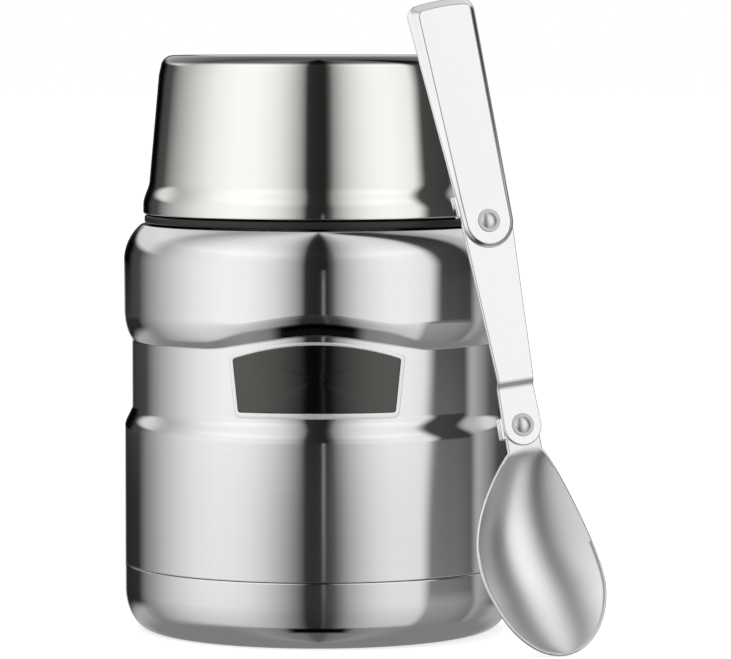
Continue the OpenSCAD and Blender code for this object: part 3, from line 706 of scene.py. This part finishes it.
def makeShell():
    s = shell
    wall, seam, edge, high = s["wall"], s["seamZ"], s["edge"], s["shoulderZ"]
    angles = [math.radians(a) for run in s["columns"] for a in evenly(*run)]
    heights = [seam + edge + 0.2] + [z for run in s["rows"] for z in evenly(*run)] + s["topRows"]
    bottom = rounded([(s["bodyR"] - wall, seam + s["edgeRun"]), (s["bodyR"] - wall, seam, edge),
                      (s["bodyR"], seam, edge), (s["bodyR"], seam + s["edgeRun"])], support=0.1)[1:-1]
    centreR, end = s["bodyR"] - s["shoulderRound"], math.radians(s["shoulderEnd"])
    arc = arcPoints(centreR, s["shoulderFrom"], s["shoulderRound"], 0, s["shoulderEnd"], 20)
    climb = (high - arc[-1][1]) / math.cos(end)
    corner = (arc[-1][0] - climb * math.sin(end), high, s["shoulderFillet"])
    flatFrom, flatTo = s["flatR"]
    top = arc[:-1] + rounded([arc[-1], corner, (flatFrom, high)], support=0.1) + [(flatTo, high)]
    lipR = s["neckR"] + s["neckRun"]
    lip = rounded([(lipR, high), (s["neckR"], high, s["neckEdge"]), (s["neckR"], high - wall, s["neckEdge"]),
                   (lipR, high - wall)], steps=3)
    inner = [(s["innerFlatR"], high - wall)]
    inner += arcPoints(centreR, s["shoulderFrom"], s["shoulderRound"] - wall, s["shoulderEnd"], 0, 10)
    innerHeights = [z for run in s["innerRows"] for z in evenly(*run)][::-1]
    points = []
    for angle in angles:
        column = bottom + [(shellRadius(angle, z), z) for z in heights] + top + lip + inner
        column += [(shellRadius(angle, z) - wall, z) for z in innerHeights]
        points += [(r * math.sin(angle), -r * math.cos(angle), z) for r, z in column]
    length = len(column)
    faces = []
    for i in range(len(angles)):
        j = (i + 1) % len(angles)
        for k in range(length):
            n = (k + 1) % length
            faces.append((i * length + k, j * length + k, j * length + n, i * length + n))
    addPiece("bodyShell", rawMesh("bodyShell", points, faces), jarSteel, ["outer_shell"])


makeShell()
print("body shell made")


# jar: base, neck and vessel

base = {"r": 47.05, "lipLow": 13.0, "seamTop": 16.1, "cornerWide": 6.5, "cornerHigh": 10.0, "footIn": 36.6,
        "recess": 2.6, "wall": 0.6, "sealR": 1.53, "disc": 0.55}
neck = {"inner": 31.5, "outer": 32.1, "low": 97.5, "high": 115.47,
        "thread": (31.75, 0.8, 2.0, 7.0, 103.5)}  # radius, bead, turns, rise, start
vessel = {"floorZ": 8.0, "bellyR": 41.6, "bellyTop": 94.9, "mouthR": 30.0, "rimZ": 116.0, "lipR": 32.1,
          "wall": 0.5, "round": 8.0, "play": 0.03}


def makeBase():
    b = base
    r, wall, high, inner = b["r"], b["wall"], b["cornerHigh"], b["footIn"] - b["recess"]
    corner = [(r - b["cornerWide"] * (1 - math.cos(a)), high * (1 - math.sin(a)))
              for a in (math.pi / 2 * k / 24 for k in range(25))]
    innerCorner = [(r - wall - (b["cornerWide"] - 0.3) * (1 - math.cos(a)), high - (high - wall) * math.sin(a))
                   for a in (math.pi / 2 * k / 12 for k in range(12, -1, -1))]
    lip = rounded([(r - wall, b["lipLow"]), (r - wall, b["seamTop"], 0.25), (r, b["seamTop"], 0.25),
                   (r, b["lipLow"])])
    foot = rounded([corner[-1], (b["footIn"], 0, 0.4), (inner, b["recess"], 0.6), (b["sealR"], b["recess"]),
                    (b["sealR"], b["recess"] + wall), (inner + 0.25, b["recess"] + wall, 0.5),
                    (b["footIn"] + 0.25, wall, 0.4), innerCorner[0]])
    loop = lip + corner[:-1] + foot + innerCorner[1:]
    turned("baseCap", loop + [loop[0]], jarSteel, ["base_cap"], 320)
    turned("baseDisc", rounded([(0, 0), (b["footIn"] - 0.05, 0, 0.06), (b["footIn"] - 0.6, b["disc"], 0.1),
                                (0, b["disc"])], steps=3), jarSteel, ["base_disc"])


def makeNeck():
    n = neck
    turned("neckRing", closedProfile([(n["inner"], n["low"], 0.1), (n["outer"], n["low"], 0.1),
                                      (n["outer"], n["high"], 0.15), (n["inner"], n["high"], 0.1)], steps=3),
           jarSteel, ["neck_ring"])
    ridge("neckThread", jarSteel, *n["thread"])


def makeVessel():
    v = vessel
    wall, floorZ, bellyR, top, bend = v["wall"], v["floorZ"], v["bellyR"], v["bellyTop"], v["round"]
    ringR = v["mouthR"] + wall
    neckR = ringR + v["play"]
    turned("innerVessel", rounded([
        (0, floorZ), (bellyR, floorZ, bend), (bellyR, top, bend), (neckR, top, 0.1), (neckR, top + wall, 0.1),
        (bellyR + wall, top + wall, bend + wall), (bellyR + wall, floorZ - wall, bend + wall),
        (0, floorZ - wall)], steps=10), vesselSteel, ["inner_vessel"])
    turned("mouthRing", closedProfile([
        (v["mouthR"], top, 0.15), (ringR, top, 0.15), (ringR, v["rimZ"] - wall, 0.05),
        (v["lipR"], v["rimZ"] - wall, 0.1), (v["lipR"], v["rimZ"], 0.24), (v["mouthR"], v["rimZ"], 0.24)]),
        vesselSteel, ["mouth_ring"])


makeBase()
makeNeck()
makeVessel()
print("base, neck and vessel made")


# front plate with its frame

plate = {"surfaceR": 45.33, "thick": 0.4, "lowHalf": 18.36, "lowZ": 55.75, "topHalf": 19.65, "sideZ": 68.2,
         "topZ": 71.65, "corner": 0.7, "edge": 0.13, "rings": (0.985, 0.94, 0.84, 0.7, 0.55, 0.4, 0.25, 0.1)}
plateFrame = {"lowHalf": 19.2, "lowZ": 54.4, "topHalf": 20.7, "sideZ": 68.9, "topZ": 72.4, "corner": 1.5,
              "gap": 0.04}


def shieldOutline(p, grow=0.0, archSteps=48, runSteps=48, longRun=5):
    sag = p["topZ"] - p["sideZ"]
    archR = (p["topHalf"] ** 2 + sag ** 2) / (2 * sag) + grow
    reach = math.degrees(math.asin((p["topHalf"] + grow) / archR))
    arch = arcPoints(0, p["topZ"] + grow - archR, archR, 90 - reach, 90 + reach, archSteps)
    c, half, low = p["corner"] + grow, p["lowHalf"] + grow, p["lowZ"] - grow
    corners = [(-half, low, c), (half, low, c), (*arch[0], c), *arch[2:-2], (*arch[-1], c)]
    coarse = rounded(corners, closed=True, steps=8, support=99)
    out = []
    for here, after in zip(coarse, coarse[1:] + coarse[:1]):  # long runs are split, so that they follow the waist
        count = runSteps if (after - here).length > longRun else 1
        out += [here.lerp(after, k / count) for k in range(count)]
    return out


def moveIn(outline, inset):
    out = []
    for i, p in enumerate(outline):
        along = (outline[(i + 1) % len(outline)] - outline[i - 1]).normalized()
        out.append(p + Vector((-along.y, along.x)) * inset)
    return out


def onWaist(outline, rise):
    r = plate["surfaceR"] + rise
    return [(p.x, -math.sqrt(r * r - p.x * p.x), p.y) for p in outline]


def edgeLoops(outline, inner):  # from the back of the edge, round it, to the face
    edge = plate["edge"]
    loops = [onWaist(outline, 0.0)]
    for a in (math.pi / 2 * k / 4 for k in range(5)):
        loops.append(onWaist(moveIn(outline, inner * edge * (1 - math.cos(a))),
                             plate["thick"] - edge + edge * math.sin(a)))
    return loops


def makePlate():
    p = plate
    outline = shieldOutline(p)
    length = len(outline)
    centre = Vector((0, (p["lowZ"] + p["topZ"]) / 2))
    face = moveIn(outline, p["edge"])
    loops = edgeLoops(outline, 1)
    loops += [onWaist([centre + (q - centre) * k for q in face], p["thick"]) for k in p["rings"]]
    points = [q for loop in loops for q in loop] + onWaist([centre], p["thick"]) + onWaist([centre], 0.0)
    faces = stitch(len(loops), length)
    front, back, last = len(points) - 2, len(points) - 1, (len(loops) - 1) * length
    for j in range(length):
        k = (j + 1) % length
        faces += [(last + j, last + k, front), (k, j, back)]
    addPiece("frontPlate", rawMesh("frontPlate", points, faces), ("plateEnamel", "jar", "plate_dark"), ["plate"])


def makeFrame():
    inside, outside = shieldOutline(plate, plateFrame["gap"]), shieldOutline(plateFrame)
    crown = [a.lerp(b, 0.5) for a, b in zip(inside, outside)]
    loops = edgeLoops(outside, 1) + [onWaist(crown, plate["thick"])] + edgeLoops(inside, -1)[::-1]
    addPiece("plateFrame", loopMesh("plateFrame", loops + loops[:1]), ("framePaint", "jar", "frame_pale"),
             ["plate_frame"])


makePlate()
makeFrame()
print("front plate made")


# stopper

stopper = {"flangeZ": 98.4, "flangeTop": 100.4, "flangeR": 42.1, "skirtR": 33.1, "landR": 36.4, "landTop": 108.0,
           "gripR": 35.2, "top": 124.5, "trayR": 33.2, "trayZ": 118.3, "recessR": 27.4, "recessZ": 106.3,
           "floorZ": 104.3, "plugR": 29.4, "roomTop": 116.3, "gripZ": 112.0, "fluteLow": 109.4, "flutes": 30,
           "fluteR": 2.1, "fluteAt": 36.6, "fluteReach": 34.3,
           # radius, bead, turns, rise, start
           "thread": (33.45, 0.8, 2.0, 7.0, 102.5), "landThread": (36.05, 0.8, 1.3, 3.6, 102.6)}
plug = {"low": 94.4, "top": 104.27, "r": 29.4, "grooveR": 28.0, "grooveLow": 96.0, "grooveTop": 98.6,
        "pocketR": 26.0, "pocketZ": 96.4}
gasket = {"inner": 28.3, "low": 96.2, "high": 98.4, "face": 29.2, "rib": 29.68, "dip": 29.35, "ribIn": 0.55}


def makeCup():
    s = stopper
    turned("stopperCup", rounded([
        (0, s["recessZ"]), (s["recessR"], s["recessZ"], 2.0), (s["recessR"], s["trayZ"], 1.0),
        (s["trayR"], s["trayZ"], 0.8), (s["trayR"], s["top"], 0.7), (s["gripR"], s["top"], 0.7),
        (s["gripR"], s["gripZ"]), (s["gripR"], s["fluteLow"] + 0.02), (s["gripR"], s["fluteLow"] - 0.02),
        (s["gripR"], s["landTop"], 0.4), (s["landR"], s["landTop"], 0.5), (s["landR"], s["flangeTop"], 0.5),
        (s["flangeR"], s["flangeTop"], 0.7), (s["flangeR"], s["flangeZ"], 0.6), (s["skirtR"], s["flangeZ"], 0.4),
        (s["skirtR"], s["roomTop"], 0.5), (s["plugR"], s["roomTop"], 0.5), (s["plugR"], s["floorZ"], 0.2),
        (0, s["floorZ"])]), stopperBlack, ["stopper_cup"], 720, **{
            "Flutes": s["flutes"], "Flute Radius": s["fluteR"] * mm, "Flute Centre": s["fluteAt"] * mm,
            "Flute From": s["fluteLow"] * mm, "Flute Reach": s["fluteReach"] * mm})
    ridge("stopperThread", stopperBlack, *s["thread"])
    ridge("lidLandThread", stopperBlack, *s["landThread"])


def makePlug():
    p, g = plug, gasket
    turned("stopperPlug", rounded([
        (0, p["low"]), (p["r"], p["low"], 1.0), (p["r"], p["grooveLow"], 0.15), (p["grooveR"], p["grooveLow"], 0.15),
        (p["grooveR"], p["grooveTop"], 0.15), (p["r"], p["grooveTop"], 0.15), (p["r"], p["top"], 0.15),
        (p["pocketR"], p["top"], 0.15), (p["pocketR"], p["pocketZ"], 0.6), (0, p["pocketZ"])], steps=4),
        stopperBlack, ["stopper_plug"])
    turned("stopperGasket", closedProfile([
        (g["inner"], g["low"], 0.2), (g["face"], g["low"], 0.3), (g["rib"], g["low"] + g["ribIn"], 0.25),
        (g["dip"], (g["low"] + g["high"]) / 2, 0.2), (g["rib"], g["high"] - g["ribIn"], 0.25),
        (g["face"], g["high"], 0.3), (g["inner"], g["high"], 0.2)], steps=4, support=0.05),
        ("sealRubber", "stopper_seal", "seal_rubber"), ["stopper_gasket"])


makeCup()
makePlug()
print("stopper made")


# lid

lid = {"low": 100.7, "r": 42.4, "hem": 2.0, "midR": 40.8, "flare": 8.4, "topR": 38.1, "top": 138.8, "round": 3.0,
       "wall": 0.6, "edge": 0.25, "edgeTop": 0.9, "sideRows": (4, 10, 16, 22, 25), "dishR": 31.5, "dish": 0.4,
       "flatR": 25.5}
liner = {"r": 35.5, "top": 136.0, "low": 108.33, "round": 6.0, "flangeR": 38.9, "wall": 0.5}
lidRing = {"inner": 37.4, "outer": 39.9, "low": 100.7, "high": 108.3,
           "thread": (37.75, 0.8, 1.3, 3.4, 102.8)}  # radius, bead, turns, rise, start


def lidOuter(inset):
    l = lid
    r, hemZ, rise, top = l["r"] - inset, l["low"] + l["hem"], l["flare"] - l["hem"], l["top"] - inset
    side = [(r, l["low"] + l["edgeTop"]), (r, hemZ)]
    side += [(r - (l["r"] - l["midR"]) * (1 - math.cos(math.pi * k / 16)) / 2, hemZ + rise * k / 16)
             for k in range(1, 17)]
    lean = math.atan((l["midR"] - l["topR"]) / (l["top"] - l["low"] - l["flare"]))
    side += [(l["midR"] - inset - math.tan(lean) * d, l["low"] + l["flare"] + d) for d in l["sideRows"]]
    cx = l["topR"] - l["round"]
    arc = arcPoints(cx, l["top"] - l["round"], l["round"] - inset, math.degrees(lean), 90, 14)
    dish = [(cx + (l["dishR"] - cx) * k / 12, top - l["dish"] * smoothStep(k / 12)) for k in range(1, 13)]
    return side + arc + dish + [(l["flatR"], top - l["dish"]), (0, top - l["dish"])]


def makeLid():
    l, n, g = lid, liner, lidRing
    edgeTop = l["low"] + l["edgeTop"]
    hem = rounded([(l["r"] - l["wall"], edgeTop), (l["r"] - l["wall"], l["low"], l["edge"]),
                   (l["r"], l["low"], l["edge"]), (l["r"], edgeTop)], steps=5)
    turned("lidShell", lidOuter(l["wall"])[::-1] + hem[1:-1] + lidOuter(0.0), ("lidSteel", "lid", "lid_steel"),
           ["lid_shell"], 320)
    turned("lidLiner", rounded([
        (0, n["top"]), (n["r"], n["top"], n["round"]), (n["r"], n["low"], 0.2), (n["flangeR"], n["low"], 0.1),
        (n["flangeR"], n["low"] + n["wall"], 0.1), (n["r"] + n["wall"], n["low"] + n["wall"], 0.5),
        (n["r"] + n["wall"], n["top"] + n["wall"], n["round"] + n["wall"]), (0, n["top"] + n["wall"])], steps=10),
        ("innerSteel", "lid", "inner_steel"), ["lid_liner", "liner_floor"])
    turned("lidRing", closedProfile([(g["inner"], g["low"], 0.4), (g["outer"], g["low"], 0.5),
                                     (g["outer"], g["high"], 0.3), (g["inner"], g["high"], 0.3)]),
           lidBlack, ["lid_ring"])
    ridge("lidRingThread", lidBlack, *g["thread"])


makeLid()
print("lid made")


# spoon: each piece is made flat round its upper rivet, with its length in -Y, and then put in place

spoon = {"steel": 1.0, "slide": 0.1, "hingeR": 6.3, "linkLen": 48.1, "linkEndR": 4.8, "joggle": 1.2}
handle = {"len": 53.0, "halfW": 8.4, "corner": 3.0, "crown": 0.35, "rise": 1.9, "edgeH": 0.42, "rim": 0.22,
          "kink": 2.5, "panelFrom": 3.0, "panelLess": 4.5, "panelSoft": 0.08, "slopeRun": (0.75, 0.95),
          "innerShift": 0.8,
          "columns": ((0, 0.12, 0.25, 0.4, 0.55, 0.7, 0.85, 1.0, 1.15, 1.3, 1.45, 1.6, 1.75, 1.9, 2.1, 2.4, 2.8,
                       3.2), (0.75, 0.5, 0.25, 0))}
linkBar = {"waistY": -37.6, "waistHalf": 4.5, "joggleRun": 1.6, "joggleSoft": 0.3, "rim": 0.28,
           "bendFrom": -2.6, "bendTo": 0.8, "columns": ((0, 0.3, 0.9), (0.7, 0.35, 0))}
bowl = {"len": 54.4, "halfW": 14.7, "neckR": 5.0, "neckHalf": 4.3, "neckLen": 6.0, "wideAt": 0.58, "depth": 6.4,
        "full": 0.85, "rim": 0.42, "rimSag": 1.2, "tipRise": 0.4, "lean": 1.9, "leanTo": 0.7, "leanBack": 0.45}
tab = {"foot": 1.6, "bend": 1.0, "up": 0.6, "length": 5.0,
       "ends": ((0, 0.25), (0.07, 0.07), (0.25, 0))}  # distance from the end, inset
rivet = {"shank": 1.5, "headR": 1.9, "headH": 0.6, "washerR": 2.7, "washerT": 0.35, "tailR": 2.4, "tailH": 0.4,
         "gap": 0.03}

spoonPlace = Matrix.Translation(Vector(spoonStand["at"]) * mm) @ spoonTurn
lowPlace = spoonPlace @ Matrix.Translation(Vector((0, -spoon["linkLen"], 0)) * mm)
linkLowZ = -spoon["joggle"]
neckZ = linkLowZ - spoon["steel"] - spoon["slide"]


def outlineNormals(side):
    normals = [(0.0, 1.0)]
    for (ax, ay), (bx, by) in zip(side, side[2:]):
        run = math.hypot(bx - ax, by - ay)
        normals.append((-(by - ay) / run, (bx - ax) / run))
    return normals + [(0.0, -1.0)]


def stampedSheet(name, side, top, bottom, rim, columns, rimSteps=6):
    # side: the right half of the outline from the upper tip to the lower one; columns: distances in from the
    # edge in mm, then shares of what is left; top and bottom give heights at (x, y, half width)
    loops = []
    near, shares = columns
    for (x, y), (nx, ny) in zip(side, outlineNormals(side)):
        innerX, innerY = max(0.0, x - rim * nx), y - rim * ny
        xs = [max(0.0, innerX - d) for d in near] + [max(0.0, innerX - near[-1]) * k for k in shares]
        row = [-q for q in xs] + xs[::-1][1:]
        upper, lower = ([(q, innerY, face(q, innerY, max(innerX, 1e-6))) for q in row] for face in (top, bottom))
        arcs = []
        for sign, edge in ((1, -1), (-1, 0)):
            edgeUp, edgeLow = upper[edge][2], lower[edge][2]
            arc = []
            for a in (math.pi * (0.5 - k / rimSteps) for k in range(1, rimSteps)):
                back = rim * (1 - math.cos(a))
                arc.append((sign * max(0.0, x - nx * back), y - ny * back,
                            (edgeUp + edgeLow) / 2 + (edgeUp - edgeLow) / 2 * math.sin(a)))
            arcs.append(arc)
        loops.append(upper + arcs[0] + lower[::-1] + arcs[1][::-1])
    return loopMesh(name, loops)


def softRamp(t, soft=0.14):  # 0 to 1 with rounded ends
    if t <= -soft:
        return 0.0
    if t < soft:
        return (t + soft) ** 2 / (4 * soft)
    if t > 1 + soft:
        return 1.0
    if t > 1 - soft:
        return 1 - (1 + soft - t) ** 2 / (4 * soft)
    return t


def spoonLook(body, finishName="spoonSteel", slotName="spoon_steel"):
    return finishName, body, slotName


def makeHandle():
    h = handle
    hinge, steelT, back, soft = spoon["hingeR"], spoon["steel"], spoon["slide"], h["panelSoft"]
    endX, endY = h["halfW"] - h["corner"], h["len"] - h["corner"]
    lean = math.degrees(math.asin((h["halfW"] - hinge) / math.hypot(endX, endY)))
    side = [(x, h["len"] - h["crown"] * (x / endX) ** 2) for x in (endX * k / 12 for k in range(12))]
    side += [(x, y - h["crown"]) for x, y in arcPoints(endX, endY, h["corner"], 90, -lean, 14)]
    joint = arcPoints(0, 0, hinge, -lean, -90, 26)
    side += between(side[-1], joint[0], 40) + joint
    side[-1] = (0.0, -hinge)
    ring = [Vector(q) for q in side] + [Vector((-x, y)) for x, y in side[-2:0:-1]]
    pairs = list(zip(ring, ring[1:] + ring[:1]))

    def depth(x, y):  # distance in from the outline
        here = Vector((x, y))
        best = math.inf
        for a, b in pairs:
            run = b - a
            t = min(1.0, max(0.0, (here - a).dot(run) / max(run.length_squared, 1e-9)))
            best = min(best, (here - a - run * t).length_squared)
        return math.sqrt(best)

    def panel(y):  # height of the raised panel, which rises towards the end
        t = max(0.0, (y - h["panelFrom"]) / (h["len"] - h["panelLess"]))
        t = t * t / (2 * soft) if t < soft else t - soft / 2
        return back + steelT + h["rise"] * t / (1 - soft / 2)

    def slope(y):
        short, more = h["slopeRun"]
        return short + more * max(0.0, min(1.0, y / h["len"]))

    def top(x, y, w):
        low = back + h["edgeH"]
        return low + (panel(y) - low) * softRamp((depth(x, y) - h["rim"]) / slope(y))

    def bottom(x, y, w):
        ceiling = max(0.0, panel(y) - steelT - back)
        return back + ceiling * softRamp((depth(x, y) - h["rim"] - steelT * h["innerShift"]) / slope(y))

    mesh = stampedSheet("spoonHandle", side, top, bottom, h["rim"], h["columns"])
    addPiece("spoonHandle", mesh, spoonLook("spoon_top"), ["spoon_handle"],
             spoonPlace @ Matrix.Rotation(math.radians(h["kink"]), 4, "Z"), 60)


def makeLink():
    b = linkBar
    hinge, endR, length = spoon["hingeR"], spoon["linkEndR"], spoon["linkLen"]
    waist = (b["waistHalf"], b["waistY"])
    side = [(0.0, hinge)] + arcPoints(0, 0, hinge, 90, 0, 24)[1:] + between((hinge, 0), waist, 40) + [waist]
    side += between(waist, (endR, -length), 24) + arcPoints(0, -length, endR, 0, -90, 20)[:-1]
    side.append((0.0, -length - endR))

    def top(x, y, w):
        return -spoon["joggle"] * softRamp((b["waistY"] - y) / b["joggleRun"], b["joggleSoft"])

    def bottom(x, y, w):
        return top(x, y, w) - spoon["steel"]

    low, high = b["waistY"] + b["bendFrom"], b["waistY"] + b["bendTo"]
    fine = []
    for first, after in zip(side, side[1:]):  # more rows where the joggle bends
        fine.append(first)
        if low < first[1] < high or low < after[1] < high:
            fine += between(first, after, 5)
    mesh = stampedSheet("spoonLink", fine + side[-1:], top, bottom, b["rim"], b["columns"])
    addPiece("spoonLink", mesh, spoonLook("spoon_middle"), ["spoon_link"], spoonPlace, 60)


def makeBowl():
    b = bowl
    reach, wideAt = b["len"] - b["neckLen"], b["wideAt"]

    def halfWidth(t):
        if t < wideAt:
            return b["neckHalf"] + (b["halfW"] - b["neckHalf"]) * math.sin(math.pi / 2 * t / wideAt) ** b["full"]
        return b["halfW"] * math.sqrt(max(0.0, 1 - ((t - wideAt) / (1 - wideAt)) ** 2))

    leave = math.degrees(math.asin(math.sqrt(1 - (b["neckHalf"] / b["neckR"]) ** 2)))
    side = [(0.0, b["neckR"])] + arcPoints(0, 0, b["neckR"], 90, -leave, 26)[1:]
    side += between(side[-1], (b["neckHalf"], -b["neckLen"]), 5)
    shares = [wideAt * k / 44 for k in range(45)]
    shares += [wideAt + (1 - wideAt) * math.sin(math.pi / 2 * k / 40) for k in range(1, 40)]
    side += [(halfWidth(t), -b["neckLen"] - reach * t) for t in shares] + [(0.0, -b["len"])]

    def top(x, y, w):
        t = (-y - b["neckLen"]) / reach
        if t <= 0:
            return neckZ
        t = min(t, 1.0)
        u = min(1.0, abs(x) / w)
        rimZ = neckZ - b["rimSag"] * math.sin(math.pi * t) + b["tipRise"] * t
        return rimZ - b["depth"] * max(0.0, math.sin(math.pi * t ** b["full"])) ** b["full"] * (1 - u * u)

    def bottom(x, y, w):
        return top(x, y, w) - spoon["steel"]

    mesh = stampedSheet("spoonBowl", side, top, bottom, b["rim"], ((0,), [k / 22 for k in range(21, -1, -1)]))
    for vertex in mesh.vertices:  # the bowl leans to one side of the spoon's line
        t = min(1.0, max(0.0, (-vertex.co.y / mm - b["neckLen"]) / reach))
        share = math.sin(math.pi * t / b["leanTo"]) * (1 if t < b["leanTo"] else b["leanBack"])
        vertex.co.x -= b["lean"] * mm * share
    addPiece("spoonBowl", mesh, spoonLook("spoon_end", "bowlSteel"), ["spoon_bowl"], lowPlace, 60)


def makeTab(name, edge, fromY, low, high, turnBy, body, place):
    # a strip that leaves the plate's edge and bends up beside the piece it stops
    t, foot = spoon["steel"], tab["foot"] - edge
    outX = -edge - spoon["slide"] - t
    section = rounded([(foot, low, 0.1), (outX, low, tab["bend"]), (outX, high, 0.3), (outX + t, high, 0.3),
                       (outX + t, low + t, 0.12), (foot, low + t, 0.1)], closed=True, steps=5, support=0.08)
    rows = list(tab["ends"]) + [(tab["length"] - y, inset) for y, inset in tab["ends"][::-1]]
    loops = [[(q.x, fromY + y, q.y) for q in moveIn(section, -inset)] for y, inset in rows]
    count, whole = len(section), len(section) * len(loops)
    faces = stitch(len(loops), count) + [tuple(range(count))[::-1], tuple(range(whole - count, whole))]
    addPiece(name, rawMesh(name, [q for loop in loops for q in loop], faces), spoonLook(body), (),
             place @ Matrix.Rotation(math.radians(turnBy), 4, "Z"), 50)


def makeRivet(name, washerName, backZ, faceZ, body, nodes, place):
    r = rivet
    shank, headR, tailR, washerR = r["shank"], r["headR"], r["tailR"], r["washerR"]
    low, high = faceZ + r["gap"], faceZ + r["gap"] + r["washerT"]
    headZ, tailZ = high + r["gap"], backZ - spoon["slide"] - r["tailH"]
    tailTop, hole = tailZ + r["tailH"], shank + r["gap"]
    dome = (headR ** 2 + r["headH"] ** 2) / (2 * r["headH"])
    cap = arcPoints(0, headZ + r["headH"] - dome, dome, 90, 90 - math.degrees(math.asin(headR / dome)), 12)
    rest = rounded([cap[-1], (headR, headZ - 0.02), (shank, headZ - 0.02), (shank, tailTop),
                    (tailR, tailTop, 0.12), (tailR, tailZ, 0.18), (0, tailZ)])
    turned(name, cap[:-1] + rest, spoonLook(body, "rivetSteel", "rivet_steel"), nodes[:1], 64, place)
    turned(washerName, closedProfile([(hole, low), (washerR, low, 0.06), (washerR, high, 0.14), (hole, high, 0.06)],
                                     steps=4, support=0.04),
           spoonLook(body, "washerSteel", "rivet_steel"), nodes[1:], 96, place)


makeHandle()
makeLink()
makeBowl()
taper = math.degrees(math.atan((handle["halfW"] - spoon["hingeR"]) / handle["len"]))
makeTab("linkTab", spoon["hingeR"], 2.2, -spoon["steel"], spoon["slide"] + spoon["steel"] + tab["up"],
        handle["kink"] + taper, "spoon_middle", spoonPlace)
makeTab("bowlTab", spoon["linkEndR"], -2.8, neckZ - spoon["steel"], linkLowZ + tab["up"], 0.0, "spoon_end", lowPlace)
makeRivet("handleRivet", "handleWasher", -spoon["steel"], spoon["slide"] + spoon["steel"], "spoon_top",
          ("handle_rivet", "handle_washer"), spoonPlace)
makeRivet("linkRivet", "linkWasher", neckZ - spoon["steel"], linkLowZ, "spoon_middle",
          ("link_rivet", "link_washer"), lowPlace)
print("spoon made")


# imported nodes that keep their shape
keptNodes = {"radiation_foil": "copperFoil", "getter": "getterMetal", "seal_plug": "braze",
             "stopper_foam": "insulation"}
for nodeName, finishName in keptNodes.items():
    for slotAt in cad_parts[nodeName].material_slots:
        slotAt.material = finish[finishName]

bpy.context.view_layer.update()
